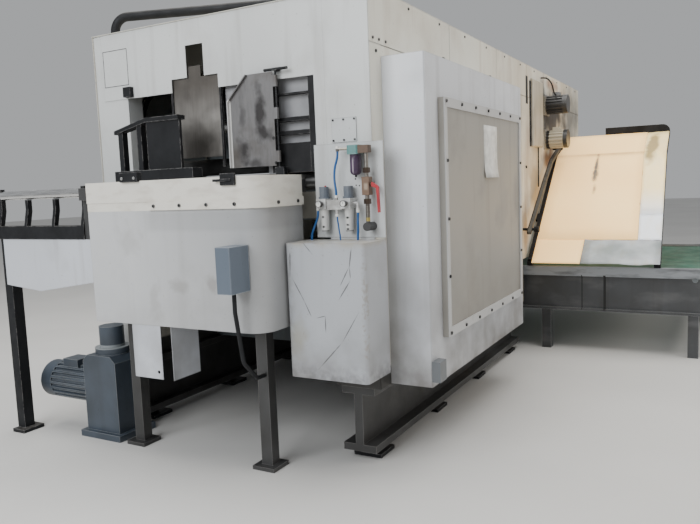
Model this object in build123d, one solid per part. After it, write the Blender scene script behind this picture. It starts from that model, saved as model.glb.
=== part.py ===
from build123d import *
from math import asin, atan2, cos, degrees, hypot, pi, radians, sin, tan
import os

# Flatbed die cutter for corrugated board, with its feeder table and outfeed conveyor.
# Places are measured from the infeed face (X), the near side (Y) and the floor (Z), in mm.
# X runs with the boards from feeder to delivery, and Y runs from the near side to the far side.
# Each sub-part is exported in a frame whose origin is under the middle of the whole machine.

# Overall body
BODY_LENGTH = 5370
BODY_WIDTH = 1970
BODY_HEIGHT = 2500
SHEET = 4
PRESS_LENGTH = 2850
BAND_BOTTOM = BODY_HEIGHT - 280
BAND_SEAMS = (1142, 2162, 3062)
ROOF_SEAMS = (0.32, 0.63)
PANEL_SEAM = 4
FIT = 0.5
RUNNING_FIT = 0.08
ROUND_GAP = 0.3

# Base
FOOT_HEIGHT = 60
FOOT_SIDE = 170
FOOT_PLATE = 22
FOOT_STUD_R = 30
RAIL_TOP = 420
RAIL_WIDTH = 200
RAIL_INSET = 40
RAIL_FLANGE = 40
RAIL_WEB = 50

# Side frames
FRAME_Y = 60
FRAME_THICKNESS = 120
FRAME_TOP = BODY_HEIGHT - 80
PILLAR_DEPTH = 130
PILLAR_WIDTH = 266
PILLAR_WALL = 12
WINDOW_X = (900, 2000)
WINDOW_R = 60
DELIVERY_PLATE = 60
DELIVERY_BOTTOM = 800
DELIVERY_END = BODY_LENGTH - 40
DELIVERY_WINDOW_X = (PRESS_LENGTH + 350, BODY_LENGTH - 970)
DELIVERY_WINDOW_Z = (1050, 1550)
POST_DEPTH = 120
NEAR_INNER = FRAME_Y + FRAME_THICKNESS
FAR_INNER = BODY_WIDTH - FRAME_Y - FRAME_THICKNESS

# Press
SHEET_LINE = BODY_HEIGHT - 910
PLATEN_X = (830, 2080)
PLATEN_Y = (NEAR_INNER + 70, FAR_INNER - 70)
PLATEN_REST_TOP = SHEET_LINE - 50
PLATEN_THICKNESS = 260
PLATEN_BOTTOM = PLATEN_REST_TOP - PLATEN_THICKNESS
PLATEN_STROKE = 70
PLATEN_WALL = 40
CUTTING_PLATE = 12
CUTTING_MARGIN = 20
GUIDE_LIP = 8
GUIDE_LIP_THICKNESS = 2.2
DIE_GAP = 3
KNIFE_REACH = 10
CHASE_HEIGHT = 45
CHASE_BORDER = 60
CHASE_LIP = 8.5
DIE_BOARD = 18
RULE_WIDTH = 3
UPPER_PLATEN_HEIGHT = 448
UPPER_WALL = 50
BED_TOP = PLATEN_BOTTOM - 520
BED_WALL = 50
WINDOW_Z = (BED_TOP + 40, BED_TOP + 420)
RAM_R = 100
RAM_BOTTOM = BED_TOP + 90
BARREL_R = 140
BARREL_TOP = BED_TOP + 320
BARREL_FLANGE = 40
BARREL_FLANGE_SIDE = 360
RAM_X = (1080, 1830)
RAM_Y = (PLATEN_Y[0] + 310, PLATEN_Y[1] - 310)
GUIDE_X = 1455
GUIDE_WIDTH = 110
GUIDE_ENTRY = 20
DRAWER_MARGIN = 20

# Gripper chains
CHAIN_PITCH = 125
SPROCKET_TEETH = 16
FRONT_SHAFT_X = 480
CHAIN_SPAN_LINKS = int((BODY_LENGTH - FRONT_SHAFT_X - 390) / CHAIN_PITCH)
CHAIN_LINKS = 2 * CHAIN_SPAN_LINKS + SPROCKET_TEETH
CHAIN_LINE = 35
LINK_HEIGHT = 30
LINK_PLATE = 5
LINK_GAP = 28
PIN_R = 8
PIN_END_GAP = 0.2
SPROCKET_THICKNESS = 16
TOOTH_TIP = 12
TOOTH_TIP_WIDTH = 30
TOOTH_SPACE = 26
SPROCKET_HUB_R = 75
SPROCKET_HUB_LENGTH = 50
SHAFT_R = 40
BEARING_FLANGE = 190
BEARING_FLANGE_T = 22
BEARING_SLEEVE_R = 60
GRIPPER_BARS = 8
FIRST_BAR_PITCH = 2.3
BAR_WIDTH = 40
BAR_HEIGHT = 20
GRIPPER_FINGERS = 6
FINGER_WIDTH = 30

# Chain drive
PULLEY_R = 220
MOTOR_PULLEY_R = 80
PULLEY_Y = (-130, -70)
PULLEY_WEB = 16
PULLEY_RIM = 24
BELT_THICKNESS = 10
BELT_MARGIN = 6
MOTOR_Z = 700
MOTOR_R = 130
MOTOR_LENGTH = 330
MOTOR_FLANGE = 320
MOTOR_FLANGE_T = 14
MOTOR_SHAFT_R = 20

# Feed rolls
FEED_ROLL_X = 190
FEED_ROLL_R = 50
FEED_ROLL_Y = (NEAR_INNER + 110, FAR_INNER - 110)
FEED_NIP = 6
JOURNAL_R = 20

# Infeed front
TABLE_TOP = SHEET_LINE - 25
PILLAR_FACE_Y = 270
FASCIA_SETBACK = 8
FASCIA_FAR = BODY_WIDTH - 70
FASCIA_BOTTOM = TABLE_TOP + 525
FASCIA_LEG_Y = 340
FASCIA_LEG_BOTTOM = TABLE_TOP - 5
NOTCH_Y = (980, 1330)
NOTCH_TOP = FASCIA_BOTTOM + 77
SLOT_Y = (1080, 1210)
SLOT_TOP = BODY_HEIGHT - 150
GATE_X = 20
GATE_BOTTOM = TABLE_TOP + 135
GATE_TRAVEL = 110
GATE_LUG_TOP = NOTCH_TOP + 65
GATE_RAIL = 14
FLAP_HINGE_X = -24
FLAP_HINGE_Y = 560
FLAP_FAR = 880
FLAP_BOTTOM = TABLE_TOP + 60
FLAP_TOP = FLAP_BOTTOM + 503
FLAP_CHAMFER_Y = 135
FLAP_CHAMFER_Z = 135
FLAP_RETURN = 16
FLAP_PIN_R = 6
KNUCKLE_R = 11

# Feeder
APRON_X = -450
APRON_NEAR = 410
APRON_FAR = BODY_WIDTH - 370
APRON_BOTTOM = 780
APRON_TOP = TABLE_TOP + 5
APRON_R = 110
APRON_SHEET = 3
APRON_RETURN = -50
STRIP_BOTTOM = APRON_TOP - 115
STRIP_PROUD = 4
RAIL_STRIP_BOTTOM = STRIP_BOTTOM - 45
RAIL_STRIP_FAR = APRON_FAR - 480
RAIL_STRIP_PROUD = 12
TABLE_THICKNESS = 20
FEEDER_TUBE = 70
FEEDER_FAR = BODY_WIDTH + 480
ROLLER_R = 28
ROLLER_X = -395
ROLLER_Z = TABLE_TOP - 45
BEAM_BOTTOM = TABLE_TOP - 315
BEAM_HEIGHT = 80

# Side cover and access panel
COVER_X = (130, 1950)
COVER_Z = (RAIL_TOP, BAND_BOTTOM - 60)
COVER_DEPTH = 240
COVER_CORNER_R = 12
ACCESS_X = (300, 1780)
ACCESS_Z = (660, COVER_Z[1] - 215)
ACCESS_DEPTH = 40
ACCESS_BORDER = 50
ACCESS_RECESS = 8
BOLT_R = 10
BOLT_HEIGHT = 7
BOLT_INSET = 20

# Pneumatic board on the near pillar
BOARD_Y = (-60, 348)
BOARD_Z = (1230, 1722)
BOARD_SHEET = 6
COVER_PLATE_Y = (88, 234)
COVER_PLATE_Z = (1727, 1852)
HEAD_X = -85
FILTER_Y = 78
FILTER_SIDE = 64
FILTER_Z = (1658, 1705)
FITTING_R = 9
ELBOW_Y = 174
ELBOW_HEIGHT = 28
BOWL_R = 29
BOWL_HEIGHT = 106
DRAIN_R = 6
PIPE_Y = 9
PIPE_X = -60
PIPE_R = 11
PIPE_BOTTOM = 1290
UNION_R = 19
VALVE_Z = (1450, 1542)
VALVE_SIDE = 40
LEVER_Z = sum(VALVE_Z) / 2 + 8
LEVER_REACH = 28
LEVER_DROP = 143
REGULATOR_Y = (272, 126)
REGULATOR_SIDE = 56
REGULATOR_Z = (1385, 1437)
OUTLET_REACH = (42, 52)
OUTLET_HEIGHT = 38
PORT_Y = 190
PORT_FITTING = 24
KNOB_R = 25
KNOB_HEIGHT = 62
COLLAR_R = 30
COLLAR_HEIGHT = 10
GUARD_R = (24, 20)
GUARD_HEIGHT = 120
GAUGE_R = 17
GAUGE_T = 28
TUBE_R = 6
SMALL_TUBE_R = 4
BEND_SHARE = 0.45
CABINET_X = -250
CABINET_Y = (-60, 400)
CABINET_Z = (520, 1220)
CABINET_R = 22

# Delivery side
ELECTRIC_X = (3160, 3530)
ELECTRIC_Z = (BODY_HEIGHT - 710, BODY_HEIGHT - 110)
ELECTRIC_DEPTH = 30
SIDE_MOTOR_X = 3750
SIDE_MOTOR_Z = (BODY_HEIGHT - 630, BODY_HEIGHT - 300)
SIDE_MOTOR_R = 88
SIDE_MOTOR_LENGTH = 200

# Inclined guard over the conveyor, whose line in x and z has a crease
GUARD_LOW = (PRESS_LENGTH + 52, 756)
GUARD_CREASE = (PRESS_LENGTH + 1124, 1703)
GUARD_HIGH = (PRESS_LENGTH + 1769, 1919)
GUARD_SEAM_X = PRESS_LENGTH + 264
FILM_X = PRESS_LENGTH + 490
GUARD_NEAR = (-1110, -1040)
GUARD_FAR = -20
BOARD_NEAR = (-920, -830)
LOWER_NEAR = (-470, -510)
GUARD_BOARD = 8
GUARD_FILM = 3
GUARD_TUBE = 32
STRUT = ((2830, 1030), (3100, 1230), (3420, 1470), (3700, 1660), (4070, 1800))
STRUT_WIDTH = 30
STRUT_Y = (-80, -44)
STRUT_PIN_R = 12
TOP_EDGE_FAR = -420
TOP_EDGE_HEIGHT = 100
TOP_EDGE_DROP = 20

# Cross conveyor
CONVEYOR_X = (PRESS_LENGTH + 80, BODY_LENGTH - 210)
CONVEYOR_NEAR = -1450
CONVEYOR_FAR = 1950
CONVEYOR_TOP = 730
CONVEYOR_BEAM = 380
BEAM_WEB = 12
BEAM_FLANGE = 60
BEAM_FLANGE_T = 22
BEAM_LIP = (12, 80)
DRUM_R = 60
DRUM_INSET = 90
BELT_SHEET = 8
DRUM_Z = 640
LEG_SIDE = 80

# Roof pipe
PIPE_TOP = BODY_HEIGHT + 120
PIPE_START = (100, BODY_WIDTH - 110)
PIPE_END = (470, 760)
ROOF_PIPE_R = 28
ROOF_BEND_R = 90

# Junction box at the apron
JUNCTION_Y = (480, 570)
JUNCTION_Z = (1000, 1230)
JUNCTION_DEPTH = 150

# Sizes that follow from the ones above
SPROCKET_R = CHAIN_PITCH / (2 * sin(pi / SPROCKET_TEETH))
SHAFT_Z = SHEET_LINE + SPROCKET_R
REAR_SHAFT_X = FRONT_SHAFT_X + CHAIN_SPAN_LINKS * CHAIN_PITCH
NEAR_CHAIN_Y = NEAR_INNER + CHAIN_LINE
FAR_CHAIN_Y = FAR_INNER - CHAIN_LINE
CUTTING_TOP = PLATEN_REST_TOP + CUTTING_PLATE
KNIFE_Z = CUTTING_TOP + PLATEN_STROKE + DIE_GAP
CHASE_Z = KNIFE_Z + KNIFE_REACH
CHASE_TOP = CHASE_Z + CHASE_HEIGHT
UPPER_BOTTOM = CHASE_TOP + 2
UPPER_TOP = UPPER_BOTTOM + UPPER_PLATEN_HEIGHT
DRAWER_X = (PLATEN_X[0] + CUTTING_MARGIN, PLATEN_X[1] - CUTTING_MARGIN)
DRAWER_Y = (PLATEN_Y[0] + 12, PLATEN_Y[1] - 12)
CENTRE_X = (APRON_X - JUNCTION_DEPTH + BODY_LENGTH) / 2
CENTRE_Y = (CONVEYOR_NEAR + FEEDER_FAR) / 2


def block(x0, x1, y0, y1, z0, z1):
    """Box between two corners."""
    centre = ((x0 + x1) / 2, (y0 + y1) / 2, (z0 + z1) / 2)
    return Pos(*centre) * Box(abs(x1 - x0), abs(y1 - y0), abs(z1 - z0))


def rod(axis, start, end, radius):
    """Cylinder along X, Y or Z from a start point to a coordinate on that axis."""
    index = "XYZ".index(axis)
    length = end - start[index]
    turn = {"X": (0, 90, 0), "Y": (-90, 0, 0), "Z": (0, 0, 0)}[axis]
    middle = list(start)
    middle[index] += length / 2
    return Pos(*middle) * Rot(*turn) * Cylinder(radius, abs(length))


def profile_along(axis, points, start, end):
    """Closed outline pushed along an axis. The points are (x, z) for Y, (y, z) for X and (x, y) for Z."""
    plane = {"Y": Plane.XZ, "X": Plane.YZ, "Z": Plane.XY}[axis]
    face = make_face(Polyline(*points, close=True).edges())
    if axis == "Y":
        return Pos(0, start, 0) * extrude(plane * face, amount=-(end - start))
    shift = (start, 0, 0) if axis == "X" else (0, 0, start)
    return Pos(*shift) * extrude(plane * face, amount=end - start)


def round_window(x, z, radius, y0, y1):
    """Cutter for a window with round corners through a side plate."""
    cutter = block(*x, y0 - 1, y1 + 1, *z)
    return fillet(cutter.edges().filter_by(Axis.Y), radius)


def hexagon(axis, centre, radius, height):
    """Bolt head or nut that stands on centre and points along the signed axis, such as -Y."""
    turn = {"+Z": (0, 0, 0), "-Y": (90, 0, 0), "-X": (0, -90, 0), "+X": (0, 90, 0), "+Y": (-90, 0, 0)}[axis]
    return Pos(*centre) * Rot(*turn) * extrude(RegularPolygon(radius, 6), amount=height)


def spread(low, high, count):
    """Evenly spaced values with both ends."""
    return [low + (high - low) * i / (count - 1) for i in range(count)]


def both_sides(solid):
    """A solid and its mirror image about the middle of the body."""
    middle = Plane.XZ.offset(-BODY_WIDTH / 2)
    return [solid, mirror(solid, about=middle)]


def wrap_face(centre_a, radius_a, centre_b, radius_b):
    """Face inside a belt that runs round two circles, drawn in local x and y."""
    gap = hypot(centre_b[0] - centre_a[0], centre_b[1] - centre_a[1])
    heading = atan2(centre_b[1] - centre_a[1], centre_b[0] - centre_a[0])
    tilt = asin((radius_a - radius_b) / gap)
    corners = []
    for side in (1, -1):
        angle = heading + side * (pi / 2 - tilt)
        pair = [(c[0] + r * cos(angle), c[1] + r * sin(angle)) for c, r in
                ((centre_a, radius_a), (centre_b, radius_b))]
        corners += pair if side == 1 else pair[::-1]
    middle = make_face(Polyline(*corners, close=True).edges())
    return middle + Pos(*centre_a) * Circle(radius_a) + Pos(*centre_b) * Circle(radius_b)


def standing(face, y0, y1):
    """Face drawn as (x, z), pushed from y0 to y1."""
    return Pos(0, y0, 0) * extrude(Plane.XZ * face, amount=-(y1 - y0))


def ribbed_casting(x, y, z, wall, ribs_x, ribs_y, open_up):
    """Box casting whose pockets open up or down, between outer walls and cross ribs."""
    body = block(*x, *y, *z)
    cells_x = spread(x[0] + wall / 2, x[1] - wall / 2, ribs_x + 2)
    cells_y = spread(y[0] + wall / 2, y[1] - wall / 2, ribs_y + 2)
    low = z[0] + wall if open_up else z[0]
    high = z[1] if open_up else z[1] - wall
    for left, right in zip(cells_x, cells_x[1:]):
        for near, far in zip(cells_y, cells_y[1:]):
            body -= block(left + wall / 2, right - wall / 2, near + wall / 2, far - wall / 2, low, high)
    return body


def base_rails():
    half_web = RAIL_WEB / 2
    middle = RAIL_INSET + RAIL_WIDTH / 2
    left, right = RAIL_INSET, RAIL_INSET + RAIL_WIDTH
    low, high = FOOT_HEIGHT, RAIL_TOP
    outline = [
        (left, low), (right, low), (right, low + RAIL_FLANGE), (middle + half_web, low + RAIL_FLANGE),
        (middle + half_web, high - RAIL_FLANGE), (right, high - RAIL_FLANGE), (right, high), (left, high),
        (left, high - RAIL_FLANGE), (middle - half_web, high - RAIL_FLANGE),
        (middle - half_web, low + RAIL_FLANGE), (left, low + RAIL_FLANGE),
    ]
    return both_sides(profile_along("X", outline, 0, PRESS_LENGTH))


def leveling_feet():
    feet = []
    y = RAIL_INSET + RAIL_WIDTH / 2
    for x in spread(FOOT_SIDE, PRESS_LENGTH - FOOT_SIDE, 4):
        half = FOOT_SIDE / 2
        pad = block(x - half, x + half, y - half, y + half, 0, FOOT_PLATE)
        foot = pad + hexagon("+Z", (x, y, FOOT_PLATE), FOOT_STUD_R, FOOT_HEIGHT - FOOT_PLATE)
        feet += both_sides(foot)
    return feet


def press_frame(y0, y1):
    plate = block(PILLAR_DEPTH, PRESS_LENGTH, y0, y1, RAIL_TOP, FRAME_TOP)
    plate -= round_window(WINDOW_X, WINDOW_Z, WINDOW_R, y0, y1)
    plate -= rod("Y", (FRONT_SHAFT_X, y0 - 1, SHAFT_Z), y1 + 1, BEARING_SLEEVE_R)
    for z in feed_roll_heights():
        plate -= rod("Y", (FEED_ROLL_X, y0 - 1, z), y1 + 1, JOURNAL_R + RUNNING_FIT)
    return plate


def feed_roll_heights():
    reach = FEED_ROLL_R + FEED_NIP / 2
    return (SHEET_LINE - reach, SHEET_LINE + reach)


def press_frames():
    near = press_frame(FRAME_Y, NEAR_INNER)
    near -= rod("Y", (FRONT_SHAFT_X, FRAME_Y - 1, MOTOR_Z), NEAR_INNER + 1, MOTOR_SHAFT_R + 10)
    far = press_frame(FAR_INNER, BODY_WIDTH - FRAME_Y)
    far -= block(PLATEN_X[0] - DRAWER_MARGIN, PLATEN_X[1] + DRAWER_MARGIN, FAR_INNER - 1, BODY_WIDTH,
                 PLATEN_REST_TOP - GUIDE_LIP, UPPER_BOTTOM)
    return [near, far]


def bed():
    casting = ribbed_casting(PLATEN_X, (NEAR_INNER, FAR_INNER), (RAIL_TOP, BED_TOP), BED_WALL, 2, 2, False)
    return [casting]


def lift_cylinders():
    barrels = []
    for x in RAM_X:
        for y in RAM_Y:
            half = BARREL_FLANGE_SIDE / 2
            flange = block(x - half, x + half, y - half, y + half, BED_TOP, BED_TOP + BARREL_FLANGE)
            barrel = flange + rod("Z", (x, y, BED_TOP), BARREL_TOP, BARREL_R)
            barrel -= rod("Z", (x, y, BED_TOP + BARREL_FLANGE), BARREL_TOP + 1, RAM_R + RUNNING_FIT)
            barrels.append(barrel)
    return barrels


def rams():
    return [rod("Z", (x, y, RAM_BOTTOM), PLATEN_BOTTOM, RAM_R) for x in RAM_X for y in RAM_Y]


def moving_platen():
    """Ribbed table that the rams lift, with lips for the cutting plate and grooves for the guides."""
    body = ribbed_casting(PLATEN_X, PLATEN_Y, (PLATEN_BOTTOM, PLATEN_REST_TOP), PLATEN_WALL, 3, 3, False)
    for x in RAM_X:
        for y in RAM_Y:
            boss = rod("Z", (x, y, PLATEN_BOTTOM), PLATEN_REST_TOP - PLATEN_WALL, RAM_R + PLATEN_WALL / 2)
            body += boss
    lip_z = CUTTING_TOP + FIT / 2
    for edge, inward in ((PLATEN_X[0], 1), (PLATEN_X[1], -1)):
        step = edge + inward * (CUTTING_MARGIN - FIT)
        lip = edge + inward * (CUTTING_MARGIN + GUIDE_LIP)
        outline = [
            (edge, PLATEN_REST_TOP), (step, PLATEN_REST_TOP), (step, lip_z), (lip, lip_z),
            (lip, lip_z + GUIDE_LIP_THICKNESS), (edge, lip_z + GUIDE_LIP_THICKNESS),
        ]
        body += profile_along("Y", outline, *PLATEN_Y)
    half = GUIDE_WIDTH / 2 + FIT
    for y0, y1 in ((PLATEN_Y[0] - 1, PLATEN_Y[0] + GUIDE_ENTRY + FIT),
                   (PLATEN_Y[1] - GUIDE_ENTRY - FIT, PLATEN_Y[1] + 1)):
        body -= block(GUIDE_X - half, GUIDE_X + half, y0, y1, PLATEN_BOTTOM - 1, CUTTING_TOP)
    return [body]


def guide_rails():
    """Upright gibs for the platen and lipped rails that carry the chase under the fixed platen."""
    half = GUIDE_WIDTH / 2
    low = PLATEN_BOTTOM - 2 * PLATEN_STROKE
    top = PLATEN_REST_TOP - 10
    gibs = both_sides(block(GUIDE_X - half, GUIDE_X + half, NEAR_INNER, PLATEN_Y[0] + GUIDE_ENTRY, low, top))
    rails = []
    for edge, inward in ((PLATEN_X[0] - CUTTING_MARGIN, 1), (PLATEN_X[1] + CUTTING_MARGIN, -1)):
        web = edge + inward * (2 * CUTTING_MARGIN - FIT)
        lip = web + inward * CUTTING_MARGIN
        low = CHASE_Z - FIT / 2 - CHASE_LIP
        outline = [
            (edge, low), (lip, low), (lip, low + CHASE_LIP), (web, low + CHASE_LIP),
            (web, UPPER_BOTTOM), (edge, UPPER_BOTTOM),
        ]
        rails.append(profile_along("Y", outline, *PLATEN_Y))
    return gibs + rails


def cutting_plate():
    """Steel plate that the knives close on, with a pull bar at its far edge."""
    plate = block(*DRAWER_X, *DRAWER_Y, PLATEN_REST_TOP, CUTTING_TOP)
    middle = sum(DRAWER_X) / 2
    far = DRAWER_Y[1]
    slot = block(middle - 90, middle + 90, far - 40, far - 20, PLATEN_REST_TOP - 1, CUTTING_TOP + 1)
    return [plate - slot]


def chase():
    """Frame with cross bars that holds the cutting die."""
    outer = block(*DRAWER_X, *DRAWER_Y, CHASE_Z, CHASE_TOP)
    inner_x = (DRAWER_X[0] + CHASE_BORDER, DRAWER_X[1] - CHASE_BORDER)
    inner_y = (DRAWER_Y[0] + CHASE_BORDER, DRAWER_Y[1] - CHASE_BORDER)
    frame = outer - block(*inner_x, *inner_y, CHASE_Z - 1, CHASE_TOP + 1)
    for x in spread(*inner_x, 4)[1:-1]:
        frame += block(x - 15, x + 15, *inner_y, CHASE_Z + DIE_BOARD, CHASE_TOP)
    return [frame]


def die_board():
    """Plywood die with steel rules set in two rows of carton blanks."""
    x0, x1 = DRAWER_X[0] + CHASE_BORDER, DRAWER_X[1] - CHASE_BORDER
    y0, y1 = DRAWER_Y[0] + CHASE_BORDER, DRAWER_Y[1] - CHASE_BORDER
    board = block(x0, x1, y0, y1, CHASE_Z, CHASE_Z + DIE_BOARD)
    margin = CHASE_BORDER
    half = RULE_WIDTH / 2
    for y in spread(y0 + margin, y1 - margin, 5):
        board += block(x0 + margin, x1 - margin, y - half, y + half, KNIFE_Z, CHASE_Z)
    for x in spread(x0 + margin, x1 - margin, 4):
        board += block(x - half, x + half, y0 + margin, y1 - margin, KNIFE_Z, CHASE_Z)
    return [board]


def upper_platen():
    y = (NEAR_INNER, FAR_INNER)
    return [ribbed_casting(PLATEN_X, y, (UPPER_BOTTOM, UPPER_TOP), UPPER_WALL, 2, 2, True)]


def cross_beams():
    """Beams that tie the two side frames together above the chains, and one under the infeed."""
    beams = [block(x - 90, x + 90, NEAR_INNER, FAR_INNER, SHAFT_Z + SPROCKET_R + 55, FRAME_TOP)
             for x in (FRONT_SHAFT_X - 100, GUIDE_X, PRESS_LENGTH - 250)]
    inner = FRAME_Y + DELIVERY_PLATE
    top = SHAFT_Z + SPROCKET_R + 55
    for x in (PRESS_LENGTH + 750, DELIVERY_END - POST_DEPTH / 2):
        beams.append(block(x - 60, x + 60, inner, BODY_WIDTH - inner, top, FRAME_TOP))
    top = TABLE_TOP - TABLE_THICKNESS - FEEDER_TUBE
    beams.append(block(PILLAR_DEPTH, PILLAR_DEPTH + 120, NEAR_INNER, FAR_INNER, top - 150, top))
    return beams


def stadium(offset):
    """Chain outline at a distance from the pitch line, drawn in x and z."""
    radius = SPROCKET_R + offset
    front, rear = (FRONT_SHAFT_X, SHAFT_Z), (REAR_SHAFT_X, SHAFT_Z)
    return wrap_face(front, radius, rear, radius)


def pitch_point(step):
    """Point of the chain line and its heading, a number of pitches from the front sprocket's foot."""
    turn = SPROCKET_TEETH / 2
    if step <= CHAIN_SPAN_LINKS:
        return FRONT_SHAFT_X + step * CHAIN_PITCH, SHEET_LINE, 0
    step -= CHAIN_SPAN_LINKS
    if step <= turn:
        angle = -pi / 2 + pi * step / turn
        return REAR_SHAFT_X + SPROCKET_R * cos(angle), SHAFT_Z + SPROCKET_R * sin(angle), degrees(angle) + 90
    step -= turn
    if step <= CHAIN_SPAN_LINKS:
        return REAR_SHAFT_X - step * CHAIN_PITCH, SHAFT_Z + SPROCKET_R, 180
    angle = pi / 2 + pi * (step - CHAIN_SPAN_LINKS) / turn
    return FRONT_SHAFT_X + SPROCKET_R * cos(angle), SHAFT_Z + SPROCKET_R * sin(angle), degrees(angle) + 90


def chain_pin(step, length):
    """Hexagonal chain pin at a pitch, with a flat towards the middle of the wheel it lies on."""
    x, z, heading = pitch_point(step)
    pin = extrude(Plane.XZ.offset(-length / 2) * RegularPolygon(PIN_R, 6), amount=length)
    return Pos(x, 0, z) * Rot(0, -heading, 0) * pin


def wheel_steps(rear):
    """Pitches whose pins lie in the tooth spaces of the front or the rear wheel."""
    first = CHAIN_SPAN_LINKS if rear else CHAIN_LINKS - SPROCKET_TEETH // 2
    return range(first, first + SPROCKET_TEETH // 2 + 1)


def gripper_chains():
    """Plate loops of the two endless chains, with the pins of their straight runs."""
    ring = stadium(LINK_HEIGHT / 2) - stadium(-LINK_HEIGHT / 2)
    on_wheels = [step % CHAIN_LINKS for rear in (False, True) for step in wheel_steps(rear)]
    pins = [chain_pin(step, LINK_GAP) for step in range(CHAIN_LINKS) if step not in on_wheels]
    solids = []
    for centre in (NEAR_CHAIN_Y, FAR_CHAIN_Y):
        inside = LINK_GAP / 2
        solids.append(standing(ring, centre - inside - LINK_PLATE, centre - inside))
        solids.append(standing(ring, centre + inside, centre + inside + LINK_PLATE))
        solids += [Pos(0, centre, 0) * pin for pin in pins]
    return solids


def gripper_bars():
    """Bars across the chains whose fingers hold the leading edge of a board."""
    y0 = NEAR_CHAIN_Y + LINK_GAP / 2 + LINK_PLATE
    y1 = FAR_CHAIN_Y - LINK_GAP / 2 - LINK_PLATE
    bar = block(-BAR_WIDTH / 2, BAR_WIDTH / 2, y0, y1, -BAR_HEIGHT / 2, BAR_HEIGHT / 2)
    tip = [(-BAR_WIDTH / 2, 0), (-BAR_WIDTH / 2 - 22, -BAR_HEIGHT / 2), (-BAR_WIDTH / 2, -BAR_HEIGHT / 2)]
    for y in spread(y0 + 120, y1 - 120, GRIPPER_FINGERS):
        bar += profile_along("Y", tip, y - FINGER_WIDTH / 2, y + FINGER_WIDTH / 2)
    bars = []
    for index in range(GRIPPER_BARS):
        x, z, heading = pitch_point(FIRST_BAR_PITCH + index * CHAIN_LINKS / GRIPPER_BARS)
        bars.append(Pos(x, 0, z) * Rot(0, -heading, 0) * bar)
    return bars


def sprocket(x, centre_y):
    """Toothed wheel whose tooth spaces have a flat foot for the chain pins."""
    foot = SPROCKET_R - PIN_R * cos(pi / 6)
    foot_half = (CHAIN_PITCH - TOOTH_SPACE) / 2 / foot
    foot_r = foot / cos(pi / SPROCKET_TEETH - foot_half)
    tip_r = SPROCKET_R + TOOTH_TIP
    tip_half = TOOTH_TIP_WIDTH / 2 / tip_r
    outline = []
    for tooth in range(SPROCKET_TEETH):
        middle = 2 * pi * (tooth + 0.5) / SPROCKET_TEETH - pi / 2
        corners = ((foot_r, -foot_half), (tip_r, -tip_half), (tip_r, tip_half), (foot_r, foot_half))
        for radius, swing in corners:
            angle = middle + swing
            outline.append((x + radius * cos(angle), SHAFT_Z + radius * sin(angle)))
    half = SPROCKET_THICKNESS / 2
    return profile_along("Y", outline, centre_y - half, centre_y + half)


def chain_shaft(x, y0, y1):
    """Shaft with its two sprockets and their hubs."""
    body = rod("Y", (x, y0, SHAFT_Z), y1, SHAFT_R)
    for centre, inward in ((NEAR_CHAIN_Y, 1), (FAR_CHAIN_Y, -1)):
        wheel = sprocket(x, centre)
        start = centre - inward * SPROCKET_THICKNESS / 2
        hub = rod("Y", (x, start, SHAFT_Z), start + inward * SPROCKET_HUB_LENGTH, SPROCKET_HUB_R)
        body += wheel + hub
    return body


def wheel_pins(rear):
    """Chain pins that lie on a shaft's two wheels and turn with them."""
    pins = [chain_pin(step, LINK_GAP - 2 * PIN_END_GAP) for step in wheel_steps(rear)]
    return [Pos(0, centre, 0) * pin for centre in (NEAR_CHAIN_Y, FAR_CHAIN_Y) for pin in pins]


def front_chain_shaft():
    shaft = chain_shaft(FRONT_SHAFT_X, PULLEY_Y[0] - 10, BODY_WIDTH - FRAME_Y + BEARING_FLANGE_T)
    return [shaft, pulley(FRONT_SHAFT_X, SHAFT_Z, PULLEY_R, SHAFT_R)] + wheel_pins(False)


def rear_chain_shaft():
    shaft = chain_shaft(REAR_SHAFT_X, FRAME_Y - BEARING_FLANGE_T, BODY_WIDTH - FRAME_Y + BEARING_FLANGE_T)
    return [shaft] + wheel_pins(True)


def pulley(x, z, radius, bore):
    """Belt pulley with a rim between two flanges and a thinner web."""
    y0, y1 = PULLEY_Y
    middle = (y0 + y1) / 2
    wheel = rod("Y", (x, y0, z), y1, radius)
    inner = radius - PULLEY_RIM
    for start, end in ((y0 - 1, middle - PULLEY_WEB / 2), (middle + PULLEY_WEB / 2, y1 + 1)):
        if inner > 2 * bore + PULLEY_RIM:
            ring = rod("Y", (x, start, z), end, inner) - rod("Y", (x, start, z), end, 2 * bore)
            wheel -= ring
    return wheel - rod("Y", (x, y0 - 1, z), y1 + 1, bore)


def shaft_bearings():
    """Flanged housings that seat in the side frames and carry both chain shafts."""
    housings = []
    for x, thickness in ((FRONT_SHAFT_X, FRAME_THICKNESS), (REAR_SHAFT_X, DELIVERY_PLATE)):
        half = BEARING_FLANGE / 2
        flange = block(x - half, x + half, FRAME_Y - BEARING_FLANGE_T, FRAME_Y,
                       SHAFT_Z - half, SHAFT_Z + half)
        housing = flange + rod("Y", (x, FRAME_Y, SHAFT_Z), FRAME_Y + thickness, BEARING_SLEEVE_R)
        housing -= rod("Y", (x, 0, SHAFT_Z), FRAME_Y + thickness + 1, SHAFT_R + RUNNING_FIT)
        housings += both_sides(housing)
    return housings


def motor_body(length, radius, fins):
    """Motor along +X from the origin: lengthwise fins, an end cowl and a terminal box."""
    outline = []
    for fin in range(fins):
        for share, reach in ((0.0, 1.0), (0.35, 1.0), (0.5, 0.87), (0.85, 0.87)):
            angle = 2 * pi * (fin + share) / fins
            outline.append((radius * reach * cos(angle), radius * reach * sin(angle)))
    body = profile_along("X", outline, 0, length * 0.78)
    body += rod("X", (length * 0.78, 0, 0), length, radius)
    side = radius * 0.5
    return body + block(length * 0.3, length * 0.62, -side, side, radius * 0.7, radius * 1.3)


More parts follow.
